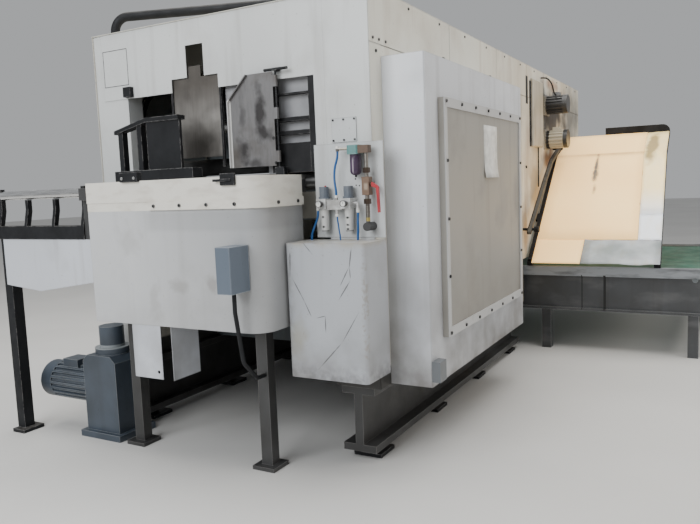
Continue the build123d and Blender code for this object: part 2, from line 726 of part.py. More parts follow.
def motors():
    """Chain drive motor inside, two adjusting motors outside, and the feeder's gear motor."""
    x, y, z = FRONT_SHAFT_X, NEAR_INNER + MOTOR_FLANGE_T, MOTOR_Z
    half = MOTOR_FLANGE / 2
    drive = Pos(x, y, z) * Rot(0, 0, 90) * motor_body(MOTOR_LENGTH, MOTOR_R, 20)
    drive += block(x - half, x + half, NEAR_INNER, y, z - half, z + half)
    drive -= rod("Y", (x, 0, z), y + 40, MOTOR_SHAFT_R + RUNNING_FIT)
    solids = [drive]
    x, half = SIDE_MOTOR_X, SIDE_MOTOR_R + 8
    for z in SIDE_MOTOR_Z:
        body = Pos(x, -MOTOR_FLANGE_T, z) * Rot(0, 0, -90) * motor_body(SIDE_MOTOR_LENGTH, SIDE_MOTOR_R, 16)
        solids.append(body + block(x - half, x + half, -MOTOR_FLANGE_T, 0, z - half, z + half))
    solids.append(feeder_gear_motor())
    return solids


def feeder_gear_motor():
    """Blue gear motor beside the feeder: a ribbed gear case on the floor with an upright flange."""
    x, y = -180, APRON_FAR + 190
    case = block(x - 120, x + 120, y - 140, y + 140, 40, 520)
    case = chamfer(case.edges().filter_by(Axis.X).group_by(Axis.Z)[-1], 40)
    case += block(x - 150, x + 150, y - 170, y + 170, 0, 40) + block(x + 120, 0, y - 50, y + 130, 130, 400)
    case += rod("Z", (x, y, 520), 560, 105) + rod("Z", (x, y, 560), 690, 75)
    case += Pos(x, y + 140, 300) * Rot(0, 0, 90) * motor_body(420, 120, 20)
    return case


def motor_pulley():
    shaft = rod("Y", (FRONT_SHAFT_X, PULLEY_Y[0] - 10, MOTOR_Z), NEAR_INNER + 30, MOTOR_SHAFT_R)
    return [shaft + pulley(FRONT_SHAFT_X, MOTOR_Z, MOTOR_PULLEY_R, MOTOR_SHAFT_R)]


def drive_belt():
    low, high = (FRONT_SHAFT_X, MOTOR_Z), (FRONT_SHAFT_X, SHAFT_Z)
    inner = ROUND_GAP
    outer = ROUND_GAP + BELT_THICKNESS
    ring = wrap_face(low, MOTOR_PULLEY_R + outer, high, PULLEY_R + outer)
    ring -= wrap_face(low, MOTOR_PULLEY_R + inner, high, PULLEY_R + inner)
    return [standing(ring, PULLEY_Y[0] + BELT_MARGIN, PULLEY_Y[1] - BELT_MARGIN)]


def feed_roll(z):
    roll = rod("Y", (FEED_ROLL_X, FEED_ROLL_Y[0], z), FEED_ROLL_Y[1], FEED_ROLL_R)
    return roll + rod("Y", (FEED_ROLL_X, FRAME_Y, z), BODY_WIDTH - FRAME_Y, JOURNAL_R)


def lower_feed_roll():
    return [feed_roll(feed_roll_heights()[0])]


def upper_feed_roll():
    return [feed_roll(feed_roll_heights()[1])]


def delivery_frames():
    """Side plates of the delivery section with their posts."""
    y0, y1 = FRAME_Y, FRAME_Y + DELIVERY_PLATE
    plate = block(PRESS_LENGTH, DELIVERY_END, y0, y1, DELIVERY_BOTTOM, FRAME_TOP)
    plate -= round_window(DELIVERY_WINDOW_X, DELIVERY_WINDOW_Z, WINDOW_R, y0, y1)
    plate -= rod("Y", (REAR_SHAFT_X, y0 - 1, SHAFT_Z), y1 + 1, BEARING_SLEEVE_R)
    plate += block(DELIVERY_END - POST_DEPTH, DELIVERY_END, y0, y1, FOOT_PLATE, DELIVERY_BOTTOM)
    plate += block(DELIVERY_END - POST_DEPTH - 30, DELIVERY_END + 30, y0 - 30, y1 + 30, 0, FOOT_PLATE)
    return both_sides(plate)


def pillars():
    """Welded box columns at the infeed end."""
    near = block(0, PILLAR_DEPTH, SHEET, SHEET + PILLAR_WIDTH, RAIL_TOP, BODY_HEIGHT - SHEET)
    wall = PILLAR_WALL
    near -= block(wall, PILLAR_DEPTH - wall, SHEET + wall, SHEET + PILLAR_WIDTH - wall,
                  RAIL_TOP, BODY_HEIGHT - wall)
    setback = FASCIA_SETBACK + SHEET
    far = block(setback, PILLAR_DEPTH, FASCIA_FAR - 200, BODY_WIDTH - SHEET, RAIL_TOP, BODY_HEIGHT - SHEET)
    far -= block(setback + wall, PILLAR_DEPTH - wall, FASCIA_FAR - 200 + wall, BODY_WIDTH - SHEET - wall,
                 RAIL_TOP, BODY_HEIGHT - wall)
    return [near, far]


def fascia():
    """Folded front sheet with a leg beside the infeed, a notch over the gate and its slot."""
    top = BODY_HEIGHT - SHEET
    outline = [
        (PILLAR_FACE_Y, top), (PILLAR_FACE_Y, FASCIA_LEG_BOTTOM), (FASCIA_LEG_Y, FASCIA_LEG_BOTTOM),
        (FASCIA_LEG_Y, FASCIA_BOTTOM), (NOTCH_Y[0], FASCIA_BOTTOM), (NOTCH_Y[0], NOTCH_TOP),
        (SLOT_Y[0], NOTCH_TOP), (SLOT_Y[0], SLOT_TOP), (SLOT_Y[1], SLOT_TOP), (SLOT_Y[1], NOTCH_TOP),
        (NOTCH_Y[1], NOTCH_TOP), (NOTCH_Y[1], FASCIA_BOTTOM), (FASCIA_FAR, FASCIA_BOTTOM), (FASCIA_FAR, top),
    ]
    sheet = profile_along("X", outline, FASCIA_SETBACK, FASCIA_SETBACK + SHEET)
    back = FASCIA_SETBACK + SHEET
    sheet += block(back, back + 30, PILLAR_FACE_Y, FASCIA_FAR - 200, top - SHEET, top)
    return [sheet]


def side_panel(x0, x1, z0, z1, rib_xs):
    """Skin sheet with upright ribs that stand it off the side frame."""
    panel = block(x0, x1, 0, SHEET, z0, z1)
    for x in rib_xs:
        panel += block(x - 20, x + 20, SHEET, FRAME_Y, max(z0, RAIL_TOP) + 20, min(z1, FRAME_TOP) - 20)
    return panel


def side_panels():
    """Lower skins and the upper band on both sides, in sheets with open seams."""
    end = BODY_LENGTH - SHEET
    lower = side_panel(SHEET, PRESS_LENGTH, RAIL_TOP, BAND_BOTTOM - PANEL_SEAM, [PRESS_LENGTH - 60])
    lower_near = lower - block(COVER_X[0] + 60, COVER_X[1] - 60, -1, SHEET + 1,
                               COVER_Z[0] + 60, COVER_Z[1] - 60)
    drawer_z = (PLATEN_REST_TOP - GUIDE_LIP, UPPER_BOTTOM)
    lower_far = lower - block(PLATEN_X[0] - DRAWER_MARGIN, PLATEN_X[1] + DRAWER_MARGIN,
                              -1, SHEET + 1, *drawer_z)
    delivery = side_panel(PRESS_LENGTH + PANEL_SEAM, end, DELIVERY_BOTTOM, BAND_BOTTOM - PANEL_SEAM,
                          [PRESS_LENGTH + 60, DELIVERY_END - 60])
    far_side = Plane.XZ.offset(-BODY_WIDTH / 2)
    solids = [lower_near, mirror(lower_far, about=far_side)] + both_sides(delivery)
    seams = (SHEET, *BAND_SEAMS, end)
    for left, right in zip(seams, seams[1:]):
        stop = right if right == end else right - PANEL_SEAM
        ribs = [max(left + 60, PILLAR_DEPTH + 60), min(stop, DELIVERY_END) - 60]
        solids += both_sides(side_panel(left, stop, BAND_BOTTOM, BODY_HEIGHT - SHEET, ribs))
    return solids


def top_panels():
    """Roof sheets and the upper part of the delivery end."""
    seams = (0, *(round(share * BODY_LENGTH) for share in ROOF_SEAMS), BODY_LENGTH)
    roof = []
    for left, right in zip(seams, seams[1:]):
        stop = right if right == BODY_LENGTH else right - PANEL_SEAM
        roof.append(block(left, stop, 0, BODY_WIDTH, BODY_HEIGHT - SHEET, BODY_HEIGHT))
    end = block(BODY_LENGTH - SHEET, BODY_LENGTH, 0, BODY_WIDTH, BODY_HEIGHT - 570, BODY_HEIGHT - SHEET)
    return roof + [end]


def bent_piece(edge, radius):
    """Round bar along one straight or one arc of a path."""
    start, heading = edge @ 0, edge % 0
    section = Plane(origin=start, z_dir=heading) * Circle(radius)
    if edge.geom_type == GeomType.LINE:
        return extrude(section, amount=edge.length)
    centre = edge.arc_center
    turn = Axis(centre, (start - centre).cross(heading))
    return revolve(section, turn, degrees(edge.length / edge.radius))


def bent_round(points, bend, radius):
    """Round bar or tube along a path of straight lines with bends of one radius."""
    body = None
    for edge in FilletPolyline(*points, radius=bend).edges():
        piece = bent_piece(edge, radius)
        body = piece if body is None else body + piece
    return body


def conduits():
    """Cable conduit over the roof's front, and the thin one from the junction box to the feeder's post."""
    route = ((*PIPE_START, BODY_HEIGHT), (*PIPE_START, PIPE_TOP),
             (*PIPE_END, PIPE_TOP), (*PIPE_END, BODY_HEIGHT))
    x = APRON_X - JUNCTION_DEPTH / 2
    y = sum(JUNCTION_Y) / 2
    low = ((x, y, JUNCTION_Z[0]), (x, y, 900), (x + 30, y - 12, 640), (x + 150, y, 530), (-285, 545, 520))
    return [bent_round(route, ROOF_BEND_R, ROOF_PIPE_R), bent_round(low, 60, 11)]


def side_cover():
    """Folded cover over the belt drive, open at the back, with the access opening in its face."""
    x0, x1 = COVER_X
    z0, z1 = COVER_Z
    shell = block(x0, x1, -COVER_DEPTH, 0, z0, z1)
    shell = fillet(shell.edges().filter_by(Axis.Z).group_by(Axis.Y)[0], COVER_CORNER_R)
    shell -= block(x0 + SHEET, x1 - SHEET, SHEET - COVER_DEPTH, 1, z0 + SHEET, z1 - SHEET)
    inset = ACCESS_BORDER
    shell -= block(ACCESS_X[0] + inset, ACCESS_X[1] - inset, -COVER_DEPTH - 1, 1 - COVER_DEPTH + SHEET,
                   ACCESS_Z[0] + inset, ACCESS_Z[1] - inset)
    return [shell]


def access_panel():
    """Shallow pan whose border stands proud of the field and takes the bolts."""
    x0, x1 = ACCESS_X
    z0, z1 = ACCESS_Z
    front = -COVER_DEPTH - ACCESS_DEPTH
    pan = block(x0, x1, front, -COVER_DEPTH, z0, z1)
    pan -= block(x0 + SHEET, x1 - SHEET, front + ACCESS_RECESS + SHEET, 1 - COVER_DEPTH,
                 z0 + SHEET, z1 - SHEET)
    pan -= block(x0 + 34, x1 - 34, front - 1, front + ACCESS_RECESS,
                 z0 + ACCESS_BORDER, z1 - ACCESS_BORDER)
    return [pan]


def cover_bolts():
    """Hexagon heads on the panels, and the two lifting eyes on top of the side cover."""
    face = -COVER_DEPTH - ACCESS_DEPTH
    columns = spread(ACCESS_X[0] + BOLT_INSET, ACCESS_X[1] - BOLT_INSET, 7)
    rows = spread(ACCESS_Z[0] + BOLT_INSET, ACCESS_Z[1] - BOLT_INSET, 5)
    places = [(x, z) for x in columns for z in (rows[0], rows[-1])]
    places += [(x, z) for x in (columns[0], columns[-1]) for z in rows[1:-1]]
    bolts = [hexagon("-Y", (x, face, z), BOLT_R, BOLT_HEIGHT) for x, z in places]
    bolts += [hexagon("-Y", (x, 0, BODY_HEIGHT - 30), 8, 5) for x in spread(500, BODY_LENGTH - 200, 11)]
    bolts += [hexagon("-Y", (x, 0, BAND_BOTTOM + 22), 8, 5) for x in (40, 110, 190)]
    bolts.append(hexagon("-Y", (70, 0, BAND_BOTTOM - 40), 9, 6))
    for y in spread(COVER_PLATE_Y[0] + 10, COVER_PLATE_Y[1] - 10, 3):
        for z in (COVER_PLATE_Z[0] + 10, COVER_PLATE_Z[1] - 10):
            bolts.append(hexagon("-X", (-BOARD_SHEET, y, z), 6, 4))
    z = (RAIL_STRIP_BOTTOM + STRIP_BOTTOM) / 2
    for y in spread(RAIL_STRIP_FAR - 40, APRON_NEAR + APRON_R + 20, 4):
        bolts.append(hexagon("-X", (APRON_X - RAIL_STRIP_PROUD, y, z), BOLT_R, 6))
    for x in (-290, -110):
        bolts.append(hexagon("-Y", (x, APRON_NEAR - RAIL_STRIP_PROUD, z), BOLT_R, 6))
    y = -COVER_DEPTH / 2
    ring = Plane.XZ * (Circle(26) - Circle(15))
    for x in (710, 1600):
        eye = Pos(x, y + 5, COVER_Z[1] + 36) * extrude(ring, amount=10)
        bolts.append(eye + rod("Z", (x, y, COVER_Z[1]), COVER_Z[1] + 14, 11))
    return bolts


def frl_plate():
    """Board for the air gear, and the small screwed plate above it."""
    board = block(-BOARD_SHEET, 0, *BOARD_Y, *BOARD_Z)
    plate = block(-BOARD_SHEET, 0, *COVER_PLATE_Y, *COVER_PLATE_Z)
    return [board, plate]


def air_filter():
    """Cast filter head with the elbow for the blue tube and the tee to the supply pipe."""
    half = FILTER_SIDE / 2
    z0, z1 = FILTER_Z
    head = block(HEAD_X, -BOARD_SHEET, FILTER_Y - half, FILTER_Y + half, z0, z1)
    head = fillet(head.edges().filter_by(Axis.Z).group_by(Axis.X)[0], 14)
    head += rod("Y", (PIPE_X, FILTER_Y + half, z1 - 17), ELBOW_Y, 7)
    head += rod("Z", (PIPE_X, ELBOW_Y, z1 - ELBOW_HEIGHT), z1 - 2, FITTING_R)
    tee = block(PIPE_X - 20, PIPE_X + 20, PIPE_Y - 20, FILTER_Y - half, z0 + 4, z1 - 4)
    return [head, tee]


def filter_bowl():
    """Clear bowl with a round end and its drain."""
    x, top = (HEAD_X - BOARD_SHEET) / 2, FILTER_Z[0]
    outline = Pos(BOWL_R / 2, -BOWL_HEIGHT / 2) * Rectangle(BOWL_R, BOWL_HEIGHT)
    corner = outline.vertices().sort_by(lambda v: v.X - v.Y)[-1]
    outline = fillet(corner, BOWL_R - DRAIN_R - 1)
    outline += Pos(DRAIN_R / 2, -BOWL_HEIGHT - 5) * Rectangle(DRAIN_R, 10)
    return [Pos(x, FILTER_Y, top) * revolve(Plane.XZ * outline, Axis.Z)]


def supply_pipe():
    """Nickel pipe with unions, the ball valve's body and the elbow into the board."""
    top = FILTER_Z[0] + 4
    pipe = rod("Z", (PIPE_X, PIPE_Y, PIPE_BOTTOM), top, PIPE_R)
    for z in (VALVE_Z[1] + 20, VALVE_Z[0] - 45):
        pipe += hexagon("+Z", (PIPE_X, PIPE_Y, z), UNION_R, 26)
    half = VALVE_SIDE / 2
    pipe += block(PIPE_X - half, PIPE_X + half, PIPE_Y - half, PIPE_Y + half, *VALVE_Z)
    pipe += rod("X", (PIPE_X - UNION_R, PIPE_Y, PIPE_BOTTOM), -BOARD_SHEET, UNION_R + 3)
    pipe += rod("Y", (PIPE_X, PIPE_Y, LEVER_Z), PIPE_Y - half - 8, 7)
    return [pipe]


def valve_lever():
    """Red handle that hangs beside the pipe while the valve is open."""
    y = PIPE_Y - VALVE_SIDE / 2 - 8 - ROUND_GAP
    z = LEVER_Z
    outline = [(y, z + 11), (y - LEVER_REACH, z - 6), (y - LEVER_REACH - 8, z - 16),
               (y - LEVER_REACH - 12, z - LEVER_DROP), (y - LEVER_REACH - 4, z - LEVER_DROP),
               (y - LEVER_REACH + 2, z - 20), (y, z - 11)]
    return [profile_along("X", outline, PIPE_X - 9, PIPE_X + 9)]


def regulators():
    """Two regulators with bowl guards and the porting block between them."""
    half = REGULATOR_SIDE / 2
    z0, z1 = REGULATOR_Z
    solids = []
    x = (HEAD_X - BOARD_SHEET) / 2
    wide, narrow = GUARD_R
    for y, outlet_y in zip(REGULATOR_Y, outlet_places()):
        body = block(HEAD_X, -BOARD_SHEET, y - half, y + half, z0, z1)
        body += rod("Y", (x, y, (z0 + z1) / 2), outlet_y, 7)
        body += rod("Z", (x, outlet_y, z0 - 10), z0 - 10 + OUTLET_HEIGHT, FITTING_R)
        body += Pos(x, y, z0 - GUARD_HEIGHT / 2) * Cone(narrow, wide, GUARD_HEIGHT)
        body += rod("Z", (x, y, z1), z1 + 6, 12)
        solids.append(body)
    link = block(HEAD_X + 12, -BOARD_SHEET, REGULATOR_Y[1] + half, REGULATOR_Y[0] - half, z0 - 5, z1 - 8)
    link += rod("Z", (PIPE_X, PORT_Y, z0 - 5 - PORT_FITTING), z1 + 3, FITTING_R)
    return solids + [link]


def outlet_places():
    """Places across of the two regulators' outlets, one at the left and one at the right."""
    left, right = OUTLET_REACH
    return REGULATOR_Y[0] + left, REGULATOR_Y[1] - right


def knob(y):
    """Regulator knob with a wider collar at its foot, over its stem."""
    x, z = (HEAD_X - BOARD_SHEET) / 2, REGULATOR_Z[1] + ROUND_GAP
    body = Pos(x, y, z) * extrude(RegularPolygon(KNOB_R, 12), amount=KNOB_HEIGHT)
    body += rod("Z", (x, y, z), z + COLLAR_HEIGHT, COLLAR_R)
    return body - rod("Z", (x, y, z - 1), z + 6 + ROUND_GAP, 12 + RUNNING_FIT)


def left_knob():
    return [knob(REGULATOR_Y[0])]


def right_knob():
    return [knob(REGULATOR_Y[1])]


def gauges():
    """Pressure gauges on the regulators, and the dial under the feeder."""
    z = sum(REGULATOR_Z) / 2
    solids = [rod("X", (HEAD_X - GAUGE_T, y, z), HEAD_X, GAUGE_R) for y in REGULATOR_Y]
    solids.append(rod("X", (-300, 558, 800), -280, 24))
    return solids


def cord_tube(points, radius):
    """Tube along a hand-laid route, with each arc as large as its two runs allow."""
    route = [Vector(*point) for point in points]
    radii = []
    for before, corner, after in zip(route, route[1:], route[2:]):
        turn = (corner - before).get_angle(after - corner)
        shorter = min((corner - before).length, (after - corner).length)
        radii.append(BEND_SHARE * shorter / tan(radians(turn / 2)))
    print("tube radius", radius, "bend radii", [round(bend) for bend in radii])
    body = None
    for edge in FilletPolyline(*points, radius=radii).edges():
        piece = bent_piece(edge, radius)
        body = piece if body is None else body + piece
    return body


def air_tubes():
    """Blue tubes from the filter to the porting block and down into the cabinet."""
    x = (HEAD_X - BOARD_SHEET) / 2
    left_y, right_y = outlet_places()
    feed = ((174, 1677), (174, 1655), (181, 1629), (192, 1600),
            (198, 1562), (198, 1520), (190, 1476), (190, 1440))
    drop = ((190, 1356), (190, 1332), (185, 1300), (181, 1264), (176, 1240), (176, 1220))
    left = ((left_y, 1375), (left_y, 1354), (321, 1329), (335, 1301), (349, 1271), (360, 1246), (360, 1220))
    right = ((right_y, 1375), (right_y, 1354), (77, 1318), (76, 1280), (80, 1243), (80, 1220))
    tubes = [cord_tube([(PIPE_X, y, z) for y, z in feed], TUBE_R)]
    tubes.append(cord_tube([(PIPE_X, y, z) for y, z in drop], SMALL_TUBE_R))
    tubes += [cord_tube([(x, y, z) for y, z in route], TUBE_R) for route in (left, right)]
    return tubes


def cabinet():
    """Sheet cabinet on the pillar's foot, folded from one sheet with round front edges."""
    x0, y, z = CABINET_X, CABINET_Y, CABINET_Z
    shell = block(x0, 0, *y, *z)
    shell = fillet(shell.edges().filter_by(Axis.Z).group_by(Axis.X)[0], CABINET_R)
    inner = block(x0 + SHEET, 1, y[0] + SHEET, y[1] - SHEET, z[0] - 1, z[1] - SHEET)
    inner = fillet(inner.edges().filter_by(Axis.Z).group_by(Axis.X)[0], CABINET_R - SHEET)
    return [shell - inner]


def front_gate():
    """Stainless gate with the lug that shows in the fascia's slot."""
    plate = block(GATE_X, GATE_X + SHEET, *NOTCH_Y, GATE_BOTTOM, NOTCH_TOP)
    lug = block(GATE_X, GATE_X + SHEET, SLOT_Y[0] + 35, SLOT_Y[1], NOTCH_TOP, GATE_LUG_TOP)
    return [plate + lug]


def inner_front_frame():
    """Gate rails behind the fascia, and the dark side-lay frame with its pale plates."""
    back = FASCIA_SETBACK + SHEET
    rails = []
    for edge, inward in ((NOTCH_Y[0], 1), (NOTCH_Y[1], -1)):
        far, lip, step = edge - inward * GATE_RAIL, edge + inward * 10, edge - inward * FIT
        outline = [
            (back, far), (GATE_X + 2 * SHEET, far), (GATE_X + 2 * SHEET, lip), (GATE_X + SHEET + FIT, lip),
            (GATE_X + SHEET + FIT, step), (back, step),
        ]
        rails.append(profile_along("Z", outline, GATE_BOTTOM - 60, BODY_HEIGHT - 60))
    solids = list(rails)
    right, left = FASCIA_LEG_Y - 60, 632
    low, high = TABLE_TOP + 20, FASCIA_BOTTOM + 110
    frame = block(back, 60, left - 30, left, low, high) + block(back, 60, right, right + 100, low, high)
    for z, height in ((20, 160), (225, 22), (297, 22), (439, 10), (555, 80)):
        frame += block(back + 4, 56, right, left, TABLE_TOP + z, TABLE_TOP + z + height)
    solids.append(frame)
    solids.append(block(60, 64, right, left + 60, low, high))
    hanger = (FASCIA_BOTTOM + 20, FASCIA_BOTTOM + 90)
    solids.append(block(50, 54, 880, NOTCH_Y[0] - GATE_RAIL - 2, GATE_BOTTOM - 60, hanger[1])
                  + block(back, 50, 880, 900, *hanger))
    return solids


def guard_flap():
    """Hinged guard: a plate with a chamfered corner, folded edges and hinge knuckles."""
    x0 = FLAP_HINGE_X - KNUCKLE_R
    near = FLAP_HINGE_Y + KNUCKLE_R + 3
    outline = [(near, FLAP_BOTTOM), (FLAP_FAR, FLAP_BOTTOM), (FLAP_FAR, FLAP_TOP - FLAP_CHAMFER_Z),
               (FLAP_FAR - FLAP_CHAMFER_Y, FLAP_TOP), (near, FLAP_TOP)]
    plate = profile_along("X", outline, x0, x0 + SHEET)
    plate += block(x0 - FLAP_RETURN, x0, FLAP_FAR - SHEET, FLAP_FAR, FLAP_BOTTOM, FLAP_TOP - FLAP_CHAMFER_Z)
    edge = [(FLAP_FAR, FLAP_TOP - FLAP_CHAMFER_Z), (FLAP_FAR - FLAP_CHAMFER_Y, FLAP_TOP),
            (FLAP_FAR - FLAP_CHAMFER_Y - SHEET, FLAP_TOP - SHEET),
            (FLAP_FAR - SHEET, FLAP_TOP - FLAP_CHAMFER_Z - SHEET)]
    plate += profile_along("X", edge, x0 - FLAP_RETURN, x0)
    for z in (FLAP_BOTTOM + 20, (FLAP_BOTTOM + FLAP_TOP) / 2, FLAP_TOP - 80):
        plate += rod("Z", (FLAP_HINGE_X, FLAP_HINGE_Y, z), z + 60, KNUCKLE_R)
        plate += block(x0, x0 + SHEET, FLAP_HINGE_Y, near, z, z + 60)
    bore = rod("Z", (FLAP_HINGE_X, FLAP_HINGE_Y, FLAP_BOTTOM - 10), FLAP_TOP + 10, FLAP_PIN_R + RUNNING_FIT)
    return [plate - bore]


def flap_hinge():
    """Hinge pin with its foot on the table and the rod bracket on the fascia."""
    x, y = FLAP_HINGE_X, FLAP_HINGE_Y
    foot = block(x - 20, x + 16, y - 40, y + 16, TABLE_TOP, FLAP_BOTTOM - 8)
    pin = rod("Z", (x, y, FLAP_BOTTOM - 8), FLAP_TOP + 18, FLAP_PIN_R)
    arm = block(x - 12, FASCIA_SETBACK, y - 14, y + 14, FLAP_TOP + 4, FLAP_TOP + 18)
    bar = rod("Y", (x - 4, y - 80, FLAP_TOP + 11), y + 70, 8)
    return [foot + pin + arm + bar]


def apron_outline(offset, far):
    """Plan line of the apron with its round corner, moved inward by an offset."""
    x, y, radius = APRON_X + offset, APRON_NEAR + offset, APRON_R - offset
    return (Line((x, far), (x, y + radius))
            + RadiusArc((x, y + radius), (x + radius, y), -radius)
            + Line((x + radius, y), (APRON_RETURN, y)))


def apron_wall(outer, inner, far, low, high):
    """Strip of sheet that follows the apron's plan between two offsets from its outside."""
    edges = apron_outline(outer, far).edges() + apron_outline(inner, far).edges()
    edges += [Edge.make_line((APRON_X + outer, far), (APRON_X + inner, far)),
              Edge.make_line((APRON_RETURN, APRON_NEAR + outer), (APRON_RETURN, APRON_NEAR + inner))]
    return Pos(0, 0, low) * extrude(make_face(edges), amount=high - low)


def apron():
    """Feeder apron bent from one sheet, with the pale band and the bolted rail along its top."""
    sheet = apron_wall(0, APRON_SHEET, APRON_FAR, APRON_BOTTOM, APRON_TOP)
    band = apron_wall(-STRIP_PROUD, 0, APRON_FAR, STRIP_BOTTOM, APRON_TOP)
    rail = apron_wall(-RAIL_STRIP_PROUD, 0, RAIL_STRIP_FAR, RAIL_STRIP_BOTTOM, STRIP_BOTTOM)
    return [sheet, band, rail]


def feeder_plan(inset):
    """Plan of what stands inside the apron, with the same round corner."""
    x0, y0 = APRON_X + APRON_SHEET + inset, APRON_NEAR + APRON_SHEET + inset
    plan = Pos((x0 + 0) / 2, (y0 + APRON_FAR) / 2) * Rectangle(0 - x0, APRON_FAR - y0)
    corner = plan.vertices().sort_by(lambda v: v.X + v.Y)[0]
    return fillet(corner, APRON_R - APRON_SHEET - inset)


def feed_table():
    low = TABLE_TOP - TABLE_THICKNESS
    return [Pos(0, 0, low) * extrude(feeder_plan(0), amount=TABLE_THICKNESS)]


def feeder_frame():
    """Welded frame under the table, with its posts, the bracket to the pillar and the far beam's legs."""
    high = TABLE_TOP - TABLE_THICKNESS
    low = high - FEEDER_TUBE
    ring = Pos(0, 0, low) * extrude(feeder_plan(0) - feeder_plan(FEEDER_TUBE), amount=FEEDER_TUBE)
    half = FEEDER_TUBE / 2
    for x, y in ((-250, APRON_NEAR + 150), (-250, APRON_FAR - 100)):
        ring += block(x - 30, x + half, y - half, y + half, FOOT_PLATE, low + 1)
        ring += block(x - 70, x + 70, y - 70, y + 70, 0, FOOT_PLATE)
        ring += block(APRON_X + APRON_SHEET + 20, PILLAR_DEPTH, y - half, y + half, low, high)
        ring += block(PILLAR_DEPTH - 16, PILLAR_DEPTH, y - half, y + half, low - 100, low)
    ring += block(APRON_X + APRON_SHEET, 0, APRON_FAR, APRON_FAR + FEEDER_TUBE, low, high)
    ring += block(-420, -350, APRON_FAR, APRON_FAR + FEEDER_TUBE, BEAM_BOTTOM, low)
    return [ring]


def junction_boxes():
    """Junction box on the apron and the tall box on the delivery side."""
    small = block(APRON_X - JUNCTION_DEPTH, APRON_X, *JUNCTION_Y, *JUNCTION_Z)
    small = fillet(small.edges().filter_by(Axis.Z).group_by(Axis.X)[0], 6)
    tall = block(*ELECTRIC_X, -ELECTRIC_DEPTH, 0, *ELECTRIC_Z)
    tall = chamfer(tall.edges().group_by(Axis.Y)[0], 10)
    outlet = block(COVER_X[0], COVER_X[0] + 90, -COVER_DEPTH - 46, -COVER_DEPTH, 450, 560)
    return [small, tall, outlet]


def feeder_panels():
    """Skirt legs under the apron and the grey sheet under the far beam."""
    x = APRON_X + APRON_SHEET
    y = APRON_FAR - 490
    front = block(x, x + APRON_SHEET, y, y + 210, 480, 900) - rod("X", (x - 1, y + 30, 520), x + 20, 9)
    side = block(x + 30, -200, y - 50, y - 47, 470, TABLE_TOP - TABLE_THICKNESS - FEEDER_TUBE)
    first, last = APRON_FAR + 20, FEEDER_FAR - 30
    sheet = [(first, BEAM_BOTTOM), (last, BEAM_BOTTOM), (last, BEAM_BOTTOM - 290),
             (first + 480, BEAM_BOTTOM - 320), (first, BEAM_BOTTOM - 250)]
    grey = profile_along("X", sheet, ROLLER_X - 30, ROLLER_X - 30 + APRON_SHEET)
    return [front, side, grey]


def sheet_supports():
    """Black posts that hold the boards, and the pale cross beam with the roller's brackets."""
    z, far = TABLE_TOP, APRON_FAR
    top = z + 365
    base = block(-230, -150, far - 600, far, z, z + 70)
    base += block(-215, -195, far - 510, far - 260, z + 70, top)
    for back, drop in ((200, 30), (50, 60)):
        base += block(-215, -175, far - back - 18, far - back + 18, z + 70, top - drop)
    rail = [(far - 510, top), (far - 260, top), (far - 10, top - 58),
            (far - 10, top - 80), (far - 260, top - 25), (far - 510, top - 25)]
    base += profile_along("X", rail, -225, -165)
    for back in (450, 310):
        base += block(-195, -160, far - back - 12, far - back + 12, z + 70, top - 25)
    low, high = BEAM_BOTTOM, BEAM_BOTTOM + BEAM_HEIGHT
    beam = block(-430, -350, APRON_FAR + FEEDER_TUBE, FEEDER_FAR, low, high)
    beam += block(-420, -350, FEEDER_FAR - FEEDER_TUBE, FEEDER_FAR, FOOT_PLATE, low)
    beam += block(-460, -310, FEEDER_FAR - FEEDER_TUBE - 40, FEEDER_FAR, 0, FOOT_PLATE)
    ends = (APRON_FAR + FEEDER_TUBE + 12, FEEDER_FAR - 12)
    for y in spread(*ends, 4):
        top = ROLLER_Z + 40 if y in ends else ROLLER_Z - ROLLER_R - 2
        outline = [(-430, high), (-400, high), (-380, high + 90),
                   (-380, top), (-410, top), (-410, high + 100)]
        beam += profile_along("Y", outline, y - 12, y + 12)
    beam -= rod("Y", (ROLLER_X, APRON_FAR, ROLLER_Z), FEEDER_FAR + 1, 10 + RUNNING_FIT)
    return [base, beam]


def feeder_roller():
    """Bright roller between the end brackets of the far beam."""
    first, last = APRON_FAR + FEEDER_TUBE + 26, FEEDER_FAR - 26
    body = rod("Y", (ROLLER_X, first, ROLLER_Z), last, ROLLER_R)
    return [body + rod("Y", (ROLLER_X, first - 24, ROLLER_Z), last + 24, 10)]


def bent_strip(points, low, high):
    """Outline in x and z of a bent sheet that lies between two distances from its line."""
    headings = [atan2(b[1] - a[1], b[0] - a[0]) for a, b in zip(points, points[1:])]
    before, after = [headings[0]] + headings, headings + [headings[-1]]

    def shifted(distance):
        line = []
        for (x, z), a, b in zip(points, before, after):
            reach = distance / cos((b - a) / 2)
            line.append((x - reach * sin((a + b) / 2), z + reach * cos((a + b) / 2)))
        return line

    return shifted(low) + shifted(high)[::-1]


def guard_height(x):
    """Height of the guard's line, with its crease, at a distance from the infeed face."""
    first, last = (GUARD_LOW, GUARD_CREASE) if x <= GUARD_CREASE[0] else (GUARD_CREASE, GUARD_HIGH)
    return first[1] + (last[1] - first[1]) * (x - first[0]) / (last[0] - first[0])


def guard_edge(x, ends):
    """Place across of a slanting edge whose ends are given at the guard's low and high end."""
    return ends[0] + (ends[1] - ends[0]) * (x - GUARD_LOW[0]) / (GUARD_HIGH[0] - GUARD_LOW[0])


